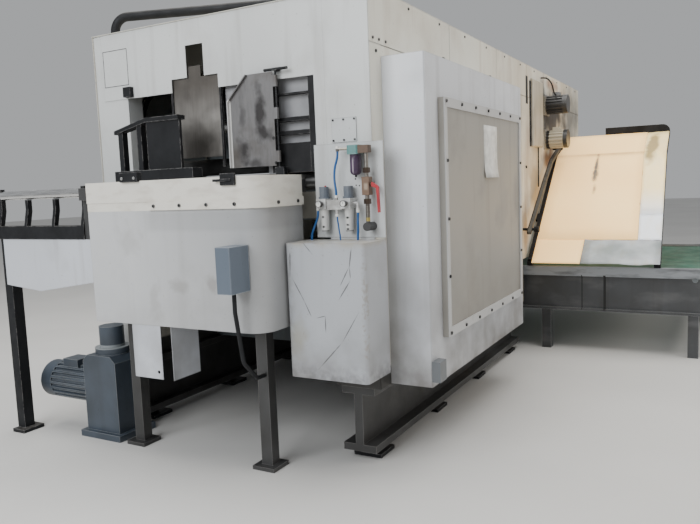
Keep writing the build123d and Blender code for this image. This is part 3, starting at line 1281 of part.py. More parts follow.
def guard_piece(x, near, far, low, high):
    """Part of the bent guard between two x places, two edges across and two distances from its line."""
    crease = [GUARD_CREASE] if x[0] < GUARD_CREASE[0] < x[1] else []
    line = [(x[0], guard_height(x[0])), *crease, (x[1], guard_height(x[1]))]
    body = profile_along("Y", bent_strip(line, low, high), min(near) - 1, max(far) + 1)
    ends = (x[0] - 100, x[1] + 100)
    plan = [(end, guard_edge(end, near)) for end in ends]
    plan += [(end, guard_edge(end, far)) for end in ends[::-1]]
    return body & profile_along("Z", plan, 0, BODY_HEIGHT)


def delivery_guard():
    """Pale bent board over the conveyor, its lower piece and the clear strip along its near edge."""
    left = GUARD_FAR - GUARD_TUBE - 10
    far = (left, left)
    board = guard_piece((GUARD_SEAM_X, GUARD_HIGH[0]), BOARD_NEAR, far, 0, GUARD_BOARD)
    lower = guard_piece((GUARD_LOW[0], GUARD_SEAM_X - 3), LOWER_NEAR, far, 0, GUARD_BOARD - 2)
    film_near = tuple(y + 6 for y in GUARD_NEAR)
    film_far = tuple(y - 3 for y in BOARD_NEAR)
    film = guard_piece((FILM_X, GUARD_HIGH[0]), film_near, film_far, 0, GUARD_FILM)
    return [board, lower, film]


def guard_frame():
    """Tube frame under the guard board, its brackets and strut, and the black top edge."""
    tube = GUARD_TUBE
    start, end = GUARD_LOW[0] + 40, GUARD_HIGH[0]
    far = (GUARD_FAR, GUARD_FAR)
    inner_near = tuple(y + tube for y in GUARD_NEAR)
    inner_far = (GUARD_FAR - tube, GUARD_FAR - tube)
    frame = guard_piece((start, end), GUARD_NEAR, inner_near, -tube, 0)
    frame += guard_piece((start, end), inner_far, far, -tube, 0)
    for x in (start, GUARD_SEAM_X - 20, FILM_X + 420, GUARD_CREASE[0] + 30, end - tube):
        frame += guard_piece((x, x + tube), GUARD_NEAR, far, -tube, 0)
    for x in (GUARD_SEAM_X + 200, end - 200):
        frame += guard_piece((x, x + 60), inner_far, (0, 0), -tube, 0)
    for y in (GUARD_NEAR[0] + tube, GUARD_FAR - tube / 2):
        places = [CONVEYOR_X[0] + 20, CONVEYOR_X[0] + 56]
        foot = [(x, guard_height(x) - tube) for x in places] + [(x, CONVEYOR_TOP) for x in places[::-1]]
        frame += profile_along("Y", foot, y - 25, y + 25)
    strut = profile_along("Y", bent_strip(STRUT, -STRUT_WIDTH / 2, STRUT_WIDTH / 2), *STRUT_Y)
    low_pin, high_pin = (STRUT[0][0] + 40, STRUT[0][1] + 30), (STRUT[-1][0] - 30, STRUT[-1][1] - 11)
    for x, z in (low_pin, high_pin):
        strut += rod("Y", (x, STRUT_Y[0] - 20, z), 0, STRUT_PIN_R)
    strut += rod("Y", (low_pin[0], STRUT_Y[0] - 60, low_pin[1]), STRUT_Y[0] - 20, 26)
    return [frame, strut, top_edge()]


def top_edge():
    """Black rubber strip that stands along the guard's high end and turns down at its near corner."""
    x, z = GUARD_HIGH
    near = round(guard_edge(x, GUARD_NEAR))
    middle = z - TOP_EDGE_DROP + TOP_EDGE_HEIGHT / 2
    face = Pos((near + TOP_EDGE_FAR) / 2, middle) * Rectangle(TOP_EDGE_FAR - near, TOP_EDGE_HEIGHT)
    corner = face.vertices().sort_by(lambda v: v.X - v.Y)[0]
    face = fillet(corner, 70)
    return Pos(x, 0, 0) * extrude(Plane.YZ * face, amount=22)


def conveyor_frame():
    """Channel beams of the cross conveyor with their legs and ties."""
    x0, x1 = CONVEYOR_X
    low, high = CONVEYOR_TOP - CONVEYOR_BEAM, CONVEYOR_TOP
    outline = [(x0, low), (x0 + BEAM_FLANGE, low), (x0 + BEAM_FLANGE, low + BEAM_FLANGE_T),
               (x0 + 20 + BEAM_WEB, low + BEAM_FLANGE_T), (x0 + 20 + BEAM_WEB, high - BEAM_FLANGE_T),
               (x0 + BEAM_FLANGE, high - BEAM_FLANGE_T), (x0 + BEAM_FLANGE, high), (x0, high),
               (x0, high - BEAM_LIP[1]), (x0 + BEAM_LIP[0], high - BEAM_LIP[1]),
               (x0 + BEAM_LIP[0], high - BEAM_FLANGE_T), (x0 + 20, high - BEAM_FLANGE_T),
               (x0 + 20, low + BEAM_FLANGE_T),
               (x0, low + BEAM_FLANGE_T)]
    mirror_x = x0 + x1
    near_end, far_end = CONVEYOR_NEAR, CONVEYOR_FAR
    solids = []
    for flip in (False, True):
        points = [(mirror_x - x, z) if flip else (x, z) for x, z in outline]
        beam = profile_along("Y", points, near_end, far_end)
        for y in (near_end + DRUM_INSET, far_end - DRUM_INSET):
            beam -= rod("X", (points[0][0] - 80, y, DRUM_Z), points[0][0] + 80, JOURNAL_R + RUNNING_FIT)
        edge = points[0][0]
        leg_x = (edge - LEG_SIDE - 10, edge - 10) if flip else (edge + 10, edge + LEG_SIDE + 10)
        for y in (near_end + 60, -220, 1000, far_end - 140):
            beam += block(*leg_x, y, y + LEG_SIDE, 0, low)
        solids.append(beam)
    ties = [block(x0 + LEG_SIDE + 10, x1 - LEG_SIDE - 10, y + 10, y + 50, 150, 210)
            for y in (near_end + 60, 1000)]
    return solids + ties


def belt_outline(offset):
    near, far = CONVEYOR_NEAR + DRUM_INSET, CONVEYOR_FAR - DRUM_INSET
    return wrap_face((near, DRUM_Z), DRUM_R + offset, (far, DRUM_Z), DRUM_R + offset)


def conveyor_belt():
    ring = belt_outline(ROUND_GAP + BELT_SHEET) - belt_outline(ROUND_GAP)
    x0, x1 = CONVEYOR_X[0] + 80, CONVEYOR_X[1] - 80
    return [Pos(x0, 0, 0) * extrude(Plane.YZ * ring, amount=x1 - x0)]


def drum(y):
    x0, x1 = CONVEYOR_X
    body = rod("X", (x0 + 70, y, DRUM_Z), x1 - 70, DRUM_R)
    return body + rod("X", (x0 + 10, y, DRUM_Z), x1 - 10, JOURNAL_R)


def near_drum():
    return [drum(CONVEYOR_NEAR + DRUM_INSET)]


def far_drum():
    return [drum(CONVEYOR_FAR - DRUM_INSET)]


NODES = [
    base_rails, leveling_feet, press_frames, bed, lift_cylinders, rams, moving_platen, guide_rails,
    cutting_plate, chase, die_board, upper_platen, cross_beams, gripper_chains, gripper_bars,
    front_chain_shaft, rear_chain_shaft, shaft_bearings, motors, motor_pulley, drive_belt,
    upper_feed_roll, lower_feed_roll, delivery_frames, pillars, fascia, side_panels, top_panels,
    conduits, side_cover, access_panel, cover_bolts, frl_plate, air_filter, filter_bowl, supply_pipe,
    valve_lever, regulators, left_knob, right_knob, gauges, air_tubes, cabinet, front_gate,
    inner_front_frame, guard_flap, flap_hinge, apron, feed_table, feeder_frame, junction_boxes,
    feeder_panels, sheet_supports, feeder_roller, delivery_guard, guard_frame,
    conveyor_frame, conveyor_belt, near_drum, far_drum,
]


def main():
    os.makedirs("parts", exist_ok=True)
    for maker in NODES:
        solids = [solid for shape in maker() for solid in shape.solids()]
        moved = Compound(children=[Pos(-CENTRE_X, -CENTRE_Y, 0) * solid for solid in solids])
        export_step(moved, os.path.join("parts", maker.__name__ + ".step"))


main()
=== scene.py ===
from math import atan2, cos, pi, radians, sin
from random import Random

import bmesh
import bpy
from mathutils import Matrix, Vector


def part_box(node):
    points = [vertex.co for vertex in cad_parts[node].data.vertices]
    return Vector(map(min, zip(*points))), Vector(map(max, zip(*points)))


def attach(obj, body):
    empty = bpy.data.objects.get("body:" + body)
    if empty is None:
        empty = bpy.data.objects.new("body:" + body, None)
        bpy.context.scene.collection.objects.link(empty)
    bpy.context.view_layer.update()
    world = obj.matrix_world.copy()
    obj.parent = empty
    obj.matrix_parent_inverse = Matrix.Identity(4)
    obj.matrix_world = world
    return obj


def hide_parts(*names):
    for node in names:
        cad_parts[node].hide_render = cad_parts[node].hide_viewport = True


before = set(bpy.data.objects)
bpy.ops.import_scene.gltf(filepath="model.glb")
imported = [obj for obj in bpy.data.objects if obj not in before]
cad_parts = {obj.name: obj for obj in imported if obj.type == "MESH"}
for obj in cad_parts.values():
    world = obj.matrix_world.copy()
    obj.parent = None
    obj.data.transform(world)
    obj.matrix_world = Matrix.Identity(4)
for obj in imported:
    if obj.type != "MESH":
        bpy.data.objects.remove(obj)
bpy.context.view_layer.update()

# Flatbed die cutter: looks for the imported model. All places are in metres, measured as in the
# part's source from the infeed face (x), the near side (y) and the floor (z).
ORIGIN = Vector((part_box("top_panels")[0].x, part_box("top_panels")[0].y, 0))
MACHINE = "machine"
X, Y, Z = range(3)
LOW, HIGH = range(2)


def at(x, y, z):
    """Point of the row frame for a place measured from the infeed face, the near side and the floor."""
    return ORIGIN + Vector((x, y, z))


def side(node, axis, end=LOW):
    """Place of a node's low or high side along an axis, measured as in the part's source."""
    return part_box(node)[end][axis] - ORIGIN[axis]


# Camera that was fitted to the photograph, with angles in degrees and its sensor in millimetres
CAMERA_PLACE = (-3.189, -1.614, 1.5)
CAMERA_YAW = 29.06
CAMERA_PITCH = 6.28
CAMERA_ROLL = 2.24
FOCAL_PIXELS = 692.6
PHOTO_WIDTH = 700
SENSOR_WIDTH = 36
VIEW_END = 200

# Half of the floor's side
FLOOR_HALF = 40

# Faces that small pieces and marks stand on
FASCIA_X = side("fascia", X)
CABINET_X = side("cabinet", X)
BOARD_X = side("frl_plate", X)
GAUGE_X = side("regulators", X)
APRON_X = -0.45
APRON_BAND_X = APRON_X - 0.004
FLAP_X = -0.035
PANEL_BORDER = 0.008
PANEL_FIELD_Y = side("access_panel", Y) + PANEL_BORDER
SKIN_Y = side("side_panels", Y)

# Places where paint changes: the skins' lower edge with painted shade below it, the painted shade towards
# the floor, the apron's cream rail, and the place along the body beyond which the side motors and electrical
# box stand
SKIN_EDGE = (0.53, 0.515)
FLOOR_SHADE = (2.1, 0.5)
RAIL_STRIP_BOTTOM = 1.41
SIDE_GEAR = (2.0, 2.1)

# Dark colour of the painted shade under the skins
UNDER_SKIN_SHADE = (0.05, 0.048, 0.045)

# How far a spot's mask reaches into the face that it lies on
SPOT_DEPTH = 0.1

# Air gear: middles of its pieces, and the radius and depth of the gauges on the regulators and of
# the dial under the feeder
PIPE_X = -0.06
BOWL_X = -0.0455
REGULATOR_Y = (0.272, 0.126)
REGULATOR_MIDDLE = 1.411
TUBE_R = 0.006
SMALL_TUBE_R = 0.004
GAUGE_SIZE = (0.017, 0.028)
LOW_DIAL = (-0.28, 0.558, 0.8)
LOW_DIAL_SIZE = (0.024, 0.02)

# Inclined guard: its line in x and z, and the places across of its slanting edges
GUARD_LOW = (2.902, 0.756)
GUARD_CREASE = (3.974, 1.703)
GUARD_HIGH = (4.619, 1.919)
GUARD_SEAM = 3.114
SEAM_GAP = 0.003
FILM_X = 3.34
FILM_NEAR = (-1.104, -1.034)
BOARD_NEAR = (-0.92, -0.83)
LOWER_NEAR = (-0.47, -0.51)
GUARD_FAR = (-0.062, -0.062)
STRIP_FAR = (-0.923, -0.833)
LOW_SHEET_FAR = (-0.473, -0.513)
GUARD_STEPS_ALONG = 12
GUARD_STEPS_ACROSS = 8

# Pale hanger plate and pale plates behind the gate opening
HANGER_X = (0.0495, 0.0545)
HANGER_Y = (0.878, 0.964)
HANGER_BOLT = (0.052, 0.905)
HANGER_BOLT_HEIGHTS = (1.70, 1.90, 2.02)
PALE_PLATES_X = (0.0594, 0.0598)

# Upper side motor
SIDE_MOTOR = (3.75, -0.106, 2.29)
MOTOR_CABLE_R = 0.007


def as_colour(value):
    """Colour with its opacity, as a colour socket takes it."""
    return (*value, 1.0) if len(value) == 3 else value


def shade(colour, factor):
    """Lighter or darker tone of a colour."""
    return tuple(min(1.0, channel * factor) for channel in colour)


def across_x(x, spots):
    """Spots on a face across x, from their places and reaches in y and z, and their shares."""
    return [((x, *place), (SPOT_DEPTH, *reach), share) for place, reach, share in spots]


class Surface:
    """Procedural material whose masks come from the place on the object."""

    def __init__(self, name, roughness, metallic=0.0):
        self.material = bpy.data.materials.new(name)
        self.material.use_nodes = True
        self.tree = self.material.node_tree
        self.tree.nodes.clear()
        self.shader = self.node("BsdfPrincipled", Roughness=roughness, Metallic=metallic)
        output = self.node("OutputMaterial")
        self.tree.links.new(self.shader.outputs[0], output.inputs["Surface"])
        self.place = self.node("TexCoord").outputs["Object"]

    def node(self, kind, settings=None, **inputs):
        """New shader node with its settings and inputs, whose names have _ for a space."""
        made = self.tree.nodes.new("ShaderNode" + kind)
        for key, value in (settings or {}).items():
            setattr(made, key, value)
        for key, value in inputs.items():
            self.put(made.inputs[key.replace("_", " ")], value)
        return made

    def put(self, socket, value):
        """Links a socket to an input, or gives the input a plain value."""
        if isinstance(value, bpy.types.NodeSocket):
            self.tree.links.new(value, socket)
        elif socket.type == "RGBA":
            socket.default_value = as_colour(value)
        else:
            socket.default_value = value

    def now(self, name):
        """What the shader's input has now: a linked socket or a plain value."""
        socket = self.shader.inputs[name]
        if socket.is_linked:
            return socket.links[0].from_socket
        return tuple(socket.default_value) if socket.type == "RGBA" else socket.default_value

    def step(self, value, low, high, to_low=0.0, to_high=1.0):
        """Value spread so that low becomes to_low and high becomes to_high."""
        made = self.node("MapRange", Value=value, From_Min=low, From_Max=high, To_Min=to_low, To_Max=to_high)
        return made.outputs[0]

    def noise(self, scale, low, high, detail=5.0, stretch=(1, 1, 1)):
        """Mask of noise, from nothing at its low value to full at its high one."""
        mapping = self.node("Mapping", Vector=self.place, Scale=stretch)
        made = self.node("TexNoise", Vector=mapping.outputs[0], Scale=scale, Detail=detail)
        return self.step(made.outputs[0], low, high)

    def math(self, operation, first, second):
        """Result of one operation on two values."""
        made = self.tree.nodes.new("ShaderNodeMath")
        made.operation = operation
        self.put(made.inputs[0], first)
        self.put(made.inputs[1], second)
        return made.outputs[0]

    def times(self, *values):
        """Product of masks and shares."""
        result = values[0]
        for value in values[1:]:
            result = self.math("MULTIPLY", result, value)
        return result

    def mix(self, share, below, above):
        """Colour between two colours, by a share."""
        return self.node("MixRGB", Fac=share, Color1=below, Color2=above).outputs[0]

    def axis(self, index):
        """Place along an axis of the row frame."""
        return self.node("SeparateXYZ", Vector=self.place).outputs[index]

    def band(self, index, low, high, soft=0.002):
        """Mask between two places along an axis, measured as in the part's source."""
        shift = ORIGIN[index]
        along = self.axis(index)
        rise = self.step(along, low + shift - soft, low + shift + soft)
        fall = self.step(along, high + shift + soft, high + shift - soft)
        return self.times(rise, fall)

    def fade(self, index, start, stop):
        """Mask that grows from nothing at start to full at stop, along an axis."""
        return self.step(self.axis(index), start + ORIGIN[index], stop + ORIGIN[index])

    def spot(self, place, reach, turn=0.0, soft=0.4, ragged=0.25, grain=9.0):
        """Mask of a ragged spot round a place, with its reach along each axis and its turn about x."""
        local = self.node("Mapping", {"vector_type": "TEXTURE"}, Vector=self.place, Location=at(*place),
                          Rotation=(turn, 0, 0), Scale=reach)
        away = self.node("VectorMath", {"operation": "LENGTH"})
        self.put(away.inputs[0], local.outputs[0])
        rough = self.node("TexNoise", Vector=self.place, Scale=grain, Detail=5.0).outputs[0]
        shaken = self.math("ADD", away.outputs["Value"], self.step(rough, 0.3, 0.7, -ragged, ragged))
        return self.step(shaken, 1.0, 1.0 - soft)

    def scratch(self, x, start, stop, width):
        """Mask of a thin dark line on a face across x, between two places (y, z)."""
        (y0, z0), (y1, z1) = start, stop
        across, up = y1 - y0, z1 - z0
        middle = (x, (y0 + y1) / 2, (z0 + z1) / 2)
        reach = (SPOT_DEPTH / 2, (across ** 2 + up ** 2) ** 0.5 * 0.56, width)
        return self.spot(middle, reach, atan2(up, across), soft=0.45, ragged=0.25, grain=24.0)

    def dot(self, place, reach):
        """Mask of a small mark with a crisp rim."""
        return self.spot(place, reach, soft=0.3, ragged=0.05, grain=60.0)

    def edges(self, radius=0.006):
        """Mask of the outer and inner edges of the piece, where a rounded normal turns from the face's."""
        rounded = self.node("Bevel", {"samples": 4}, Radius=radius).outputs[0]
        flat = self.node("NewGeometry").outputs["Normal"]
        agreement = self.node("VectorMath", {"operation": "DOT_PRODUCT"})
        self.put(agreement.inputs[0], rounded)
        self.put(agreement.inputs[1], flat)
        on_face, on_edge = 0.985, 0.86
        return self.step(agreement.outputs["Value"], on_face, on_edge)

    def colour(self, value):
        """Sets the base colour."""
        self.put(self.shader.inputs["Base Color"], value)

    def over(self, mask, colour, metallic=None, roughness=None):
        """Lays a colour over the surface where the mask says so, with its metal share and roughness."""
        self.colour(self.mix(mask, self.now("Base Color"), colour))
        for name, value in (("Metallic", metallic), ("Roughness", roughness)):
            if value is not None:
                self.put(self.shader.inputs[name], self.step(mask, 0.0, 1.0, self.now(name), value))
        return self

    def smears(self, spots, colour, **form):
        """Lays one colour over ragged spots, each with its place, its reach and its share."""
        for place, reach, share in spots:
            self.over(self.times(self.spot(place, reach, **form), share), colour)

    def shadow(self, mask, factor):
        """Darkens the surface to a share of its colour where the mask says so."""
        made = self.node("MixRGB", {"blend_type": "MULTIPLY"}, Fac=mask, Color1=self.now("Base Color"),
                         Color2=(factor,) * 3)
        self.colour(made.outputs[0])

    def roughness(self, mask, low, high):
        """Sets the roughness between two values by a mask."""
        self.put(self.shader.inputs["Roughness"], self.step(mask, 0.0, 1.0, low, high))

    def bump(self, height, strength, distance):
        """Raises the surface by a mask, without a change of the mesh."""
        made = self.node("Bump", Strength=strength, Distance=distance, Height=height)
        self.put(self.shader.inputs["Normal"], made.outputs[0])


def painted(name, colour, roughness=0.45, dirt=(0.16, 0.13, 0.10), patches=0.25, runs=0.3, foot=0.5, edge=0.4,
            edge_colour=(0.10, 0.095, 0.09), foot_span=(1.0, 0.3), fall=1.0):
    """Sheet paint with tone variation, painted shade towards the floor, dirt patches, dirt runs, a dirty
    foot, specks and worn edges.
    """
    made = Surface(name, roughness)
    drift = made.noise(0.9, 0.3, 0.7)
    made.colour(made.mix(drift, shade(colour, 0.92), shade(colour, 1.08)))
    # Painted shade: darkens the paint towards the floor, down to the share fall of its colour.
    if fall < 1.0:
        made.shadow(made.fade(Z, *FLOOR_SHADE), fall)
    blotches = made.noise(2.6, 0.52, 0.78, detail=9)
    made.over(made.times(blotches, patches), dirt)
    streaks = made.noise(1.0, 0.54, 0.74, detail=7, stretch=(11, 11, 0.8))
    made.over(made.times(streaks, runs), dirt)
    low_dirt = made.times(made.fade(Z, *foot_span), made.noise(4.0, 0.35, 0.65, detail=8), foot)
    made.over(low_dirt, shade(dirt, 0.6))
    specks = made.noise(75, 0.70, 0.76, detail=3)
    made.over(made.times(specks, 0.45), shade(dirt, 0.7))
    made.over(made.times(made.edges(), edge), edge_colour)
    made.roughness(blotches, roughness - 0.08, roughness + 0.2)
    made.bump(made.noise(240, 0.2, 0.8, detail=2), 0.06, 0.0006)
    return made


def metal(name, colour, roughness, brushed=(1, 1, 40), oil=0.2, edge=0.4, metallic=1.0):
    """Bare metal with brushed lines, oily patches and bright edges."""
    made = Surface(name, roughness, metallic)
    lines = made.noise(9, 0.3, 0.7, detail=6, stretch=brushed)
    made.colour(made.mix(lines, shade(colour, 0.82), shade(colour, 1.12)))
    patches = made.noise(5, 0.5, 0.7, detail=8)
    made.over(made.times(patches, oil), (0.06, 0.045, 0.03))
    made.over(made.times(made.edges(0.004), edge), shade(colour, 1.35))
    made.roughness(lines, roughness - 0.1, roughness + 0.15)
    made.bump(lines, 0.05, 0.0004)
    return made


def coated(name, colour, roughness, edge=0.7, dust=0.25):
    """Dark coating that is rubbed bright at the edges and dusty on top."""
    made = Surface(name, roughness)
    made.colour(made.mix(made.noise(6, 0.35, 0.7, detail=8), shade(colour, 0.75), shade(colour, 1.3)))
    normal = made.node("NewGeometry").outputs["Normal"]
    up = made.step(made.node("SeparateXYZ", Vector=normal).outputs[Z], 0.4, 1.0)
    made.over(made.times(up, made.noise(7, 0.35, 0.6, detail=8), dust), (0.33, 0.30, 0.26))
    chips = made.times(made.edges(), made.noise(30, 0.4, 0.55, detail=6), edge)
    made.over(chips, (0.32, 0.31, 0.30))
    made.roughness(made.noise(14, 0.3, 0.7, detail=6), roughness - 0.1, roughness + 0.18)
    made.bump(made.noise(160, 0.2, 0.8, detail=3), 0.08, 0.0006)
    made.put(made.shader.inputs["Specular IOR Level"], 0.25)
    return made


def moulded(name, colour, roughness, dust=0.15):
    """Plastic with a fine grain and some dust."""
    made = Surface(name, roughness)
    made.colour(made.mix(made.noise(18, 0.3, 0.7, detail=6), shade(colour, 0.85), shade(colour, 1.15)))
    made.over(made.times(made.noise(11, 0.45, 0.7, detail=9), dust), (0.30, 0.28, 0.25))
    made.roughness(made.noise(25, 0.3, 0.7), roughness - 0.06, roughness + 0.14)
    made.bump(made.noise(420, 0.3, 0.7, detail=2), 0.05, 0.0003)
    return made


def skin_beige():
    """Beige skin that is cleaner at the infeed, stained dark and rusty round the side motors, where painted
    shade behind the motors darkens it too.
    """
    made = painted("skin_beige", (0.73, 0.71, 0.63), 0.5, (0.30, 0.20, 0.11), patches=0.3, runs=0.35,
                   edge=0.45)
    stained, pillar = (1.6, 4.2), (0.14, 0.125)
    along = made.fade(X, *stained)
    made.over(made.times(along, made.noise(1.7, 0.38, 0.66, 8, (1, 1, 0.6)), 0.7), (0.42, 0.32, 0.18))
    made.over(made.times(along, made.noise(5, 0.56, 0.72, 9, (1, 1, 0.3)), 0.7), (0.22, 0.11, 0.06))
    # The three near-black spots round the side motors are painted shade behind the motors, together with dark
    # stain.
    for (x, z), (length, height), colour, share in (
        ((4.0, 2.42), (0.42, 0.07), (0.36, 0.22, 0.15), 0.75),
        ((4.0, 2.16), (0.66, 0.27), (0.045, 0.042, 0.038), 0.95),
        ((3.6, 2.10), (0.22, 0.36), (0.06, 0.055, 0.05), 0.85),
        ((4.0, 2.06), (0.62, 0.26), (0.05, 0.046, 0.042), 0.9),
        ((3.8, 1.70), (0.30, 0.14), (0.20, 0.11, 0.07), 0.85),
        ((3.3, 1.45), (0.22, 0.34), (0.40, 0.30, 0.18), 0.75),
        ((2.95, 1.10), (0.12, 0.30), (0.30, 0.20, 0.12), 0.75),
        ((4.9, 2.2), (0.5, 0.3), (0.12, 0.115, 0.105), 0.7),
    ):
        spot = ((x, SKIN_Y, z), (length, SPOT_DEPTH, height), share)
        made.smears([spot], colour, soft=0.7, ragged=0.4, grain=5.0)
    # Painted shade on the pillars' foot under the skins.
    pillar_foot = made.times(made.fade(Z, *SKIN_EDGE), made.fade(X, *pillar))
    made.over(pillar_foot, UNDER_SKIN_SHADE)
    made.put(made.shader.inputs["Specular IOR Level"], 0.12)
    return made


def apron_paint():
    """White apron with a cream band and rail, shade at its near end and under the rail, and smudges."""
    made = painted("apron_white", (0.57, 0.575, 0.58), 0.4, (0.22, 0.20, 0.18), patches=0.3, runs=0.15,
                   fall=0.9)
    far_to_near = (1.3, 0.55)
    made.shadow(made.fade(Y, *far_to_near), 0.70)
    under_rail = made.times(made.band(Z, 1.30, 1.40, 0.012), made.band(Y, 0.3, 1.15, 0.03))
    made.shadow(under_rail, 0.88)
    smudges = (
        ((0.95, 1.01), (0.10, 0.05), 0.35), ((0.72, 1.02), (0.05, 0.05), 0.45),
        ((1.13, 0.90), (0.06, 0.16), 0.25), ((1.30, 1.25), (0.12, 0.10), 0.20),
    )
    made.smears(across_x(APRON_X, smudges), (0.20, 0.18, 0.16), soft=0.8, ragged=0.5, grain=16.0)
    cream = made.times(made.fade(Z, RAIL_STRIP_BOTTOM - 0.003, RAIL_STRIP_BOTTOM), 0.85)
    made.over(cream, (0.80, 0.765, 0.68))
    made.over(made.times(cream, made.noise(7, 0.5, 0.7, 9, (1, 1, 3)), 0.4), (0.40, 0.34, 0.26))
    return made


def cabinet_paint():
    """Cabinet paint with grimy edges, long dark scratches, a stain and a chipped near edge."""
    made = painted("cabinet_white", (0.43, 0.445, 0.47), 0.42, patches=0.35, runs=0.2, foot=0.5,
                   foot_span=(0.95, 0.5), fall=0.9)
    top, far_side, near_side = side("cabinet", Z, HIGH), side("cabinet", Y, HIGH), side("cabinet", Y)
    grime = made.noise(22, 0.40, 0.60, detail=9)
    grimy_foot = (0.62, 0.50)
    made.over(made.times(made.fade(Z, *grimy_foot), grime, 0.7), (0.10, 0.095, 0.10))
    dust = made.noise(14, 0.3, 0.6, detail=8)
    made.over(made.times(made.fade(Z, top - 0.03, top), dust, 0.6), (0.36, 0.31, 0.22))
    made.over(made.times(made.fade(Y, far_side - 0.06, far_side), grime, 0.5), (0.20, 0.19, 0.18))
    stain = (((0.34, 0.74), (0.07, 0.15), 0.5),)
    made.smears(across_x(CABINET_X, stain), (0.28, 0.26, 0.18), soft=0.9, ragged=0.5)
    for start, stop, width in (
        ((0.009, 1.201), (0.024, 1.109), 0.0040), ((0.024, 1.109), (0.081, 1.008), 0.0032),
        ((0.024, 1.109), (0.020, 1.041), 0.0032), ((0.020, 1.041), (0.091, 0.939), 0.0040),
        ((0.361, 1.037), (0.298, 0.929), 0.0040), ((0.298, 0.929), (0.257, 0.847), 0.0032),
        ((-0.011, 0.869), (0.080, 0.725), 0.0032), ((0.080, 0.725), (0.219, 0.581), 0.0040),
        ((0.223, 0.840), (0.170, 0.854), 0.0028), ((0.174, 0.854), (0.174, 0.761), 0.0036),
        ((0.368, 1.185), (0.375, 1.056), 0.0044), ((0.287, 1.222), (0.236, 1.166), 0.0028),
    ):
        made.over(made.times(made.scratch(CABINET_X, start, stop, width), 0.85), (0.09, 0.085, 0.085))
    chips = made.times(made.spot((CABINET_X, near_side, 0.87), (0.04, 0.03, 0.34)),
                       made.noise(55, 0.5, 0.6, detail=6))
    made.over(made.times(chips, 0.6), (0.30, 0.27, 0.23))
    return made


def panel_paint():
    """Warm grey field of the access panel, with a paler border that stands proud of it."""
    made = painted("panel_grey", (0.37, 0.352, 0.318), 0.55, patches=0.25, runs=0.3, fall=0.86)
    border = made.fade(Y, PANEL_FIELD_Y - 0.0010, PANEL_FIELD_Y - 0.0018)
    made.over(made.times(border, made.noise(8, 0.1, 0.4, detail=8), 0.85), (0.56, 0.56, 0.56))
    return made


def flap_steel():
    """Worn plate of the hinged guard, with dark smears, an oily square at its foot and a pale edge."""
    made = metal("flap_steel", (0.17, 0.165, 0.165), 0.55, brushed=(1, 7, 1.5), oil=0.6, edge=0.8,
                 metallic=0.5)
    oily = (
        ((0.66, 1.92), (0.05, 0.15), 0.95), ((0.65, 1.80), (0.07, 0.06), 0.9),
        ((0.79, 1.90), (0.03, 0.12), 0.5), ((0.785, 1.71), (0.06, 0.09), 0.9),
        ((0.72, 1.64), (0.10, 0.04), 0.7),
    )
    made.smears(across_x(FLAP_X, oily), (0.03, 0.027, 0.027), soft=0.8, ragged=0.5, grain=14.0)
    for y, z in ((0.562, 1.975), (0.584, 1.774), (0.575, 1.64)):
        made.over(made.dot((FLAP_X, y, z), (0.05, 0.011, 0.011)), (0.012, 0.011, 0.011), 0.0, 0.6)
    pale_edge = (0.866, 0.884)
    made.over(made.band(Y, *pale_edge), (0.62, 0.61, 0.59), 0.2)
    return made


def gate_steel():
    """Smooth oiled plate that is dark at the top and at its edges, with a painted pale reflection in the
    middle.
    """
    made = Surface("gate_steel", 0.38, 0.8)
    made.colour(made.mix(made.noise(3, 0.3, 0.7, 9, (1, 1, 0.5)), (0.17, 0.155, 0.14), (0.27, 0.255, 0.235)))
    made.over(made.times(made.noise(9, 0.35, 0.7, 4, (1, 12, 0.6)), 0.25), (0.36, 0.34, 0.32))
    # Painted reflection: a pale patch in the middle of the plate.
    rubbed = ((0, 1.03, 1.88), (SPOT_DEPTH, 0.11, 0.20), 0.45)
    made.smears([rubbed], (0.44, 0.42, 0.39), soft=0.9)
    dark_top = (1.95, 2.12)
    made.over(made.times(made.fade(Z, *dark_top), 0.7), (0.07, 0.06, 0.05))
    made.over(made.times(made.edges(0.004), 0.6), (0.10, 0.09, 0.08))
    made.roughness(made.noise(12, 0.3, 0.7, detail=6), 0.28, 0.5)
    return made


def conveyor_paint():
    """Dark worn beam whose top lip is paler, with two dark seams in its web."""
    made = painted("conveyor_grey", (0.055, 0.058, 0.062), 0.45, (0.03, 0.028, 0.025), patches=0.5, runs=0.5,
                   edge=0.6, edge_colour=(0.35, 0.36, 0.36))
    made.over(made.times(made.noise(2.2, 0.5, 0.75, 8, (1, 1, 3)), 0.4), (0.20, 0.20, 0.20))
    lip_heights, web_heights = (0.648, 0.74), (0.36, 0.66)
    seams = (-0.68, -0.66), (-0.488, -0.480)
    # The top lip is painted paler.
    lip = made.times(made.band(Z, *lip_heights), made.noise(5, 0.2, 0.5, 9, (1, 1, 4)))
    made.over(lip, (0.25, 0.265, 0.28))
    web = made.band(Z, *web_heights)
    for seam in seams:
        made.over(made.times(web, made.band(Y, *seam)), (0.004, 0.004, 0.004))
    return made


def base_paint():
    """Near-black rails under the body, their dark colour a painted shade, with dirt patches and worn edges.
    """
    # Painted shade: the near-black colour stands in for the shade under the body.
    return painted("base_dark", (0.045, 0.045, 0.045), 0.5, (0.02, 0.018, 0.015), patches=0.6, runs=0.4,
                   edge=0.5, edge_colour=(0.22, 0.21, 0.20))


def glow(surface, strength):
    """Lets a thin sheet shine in its own colour, as daylight from behind does."""
    surface.put(surface.shader.inputs["Emission Color"], surface.now("Base Color"))
    surface.put(surface.shader.inputs["Emission Strength"], strength)


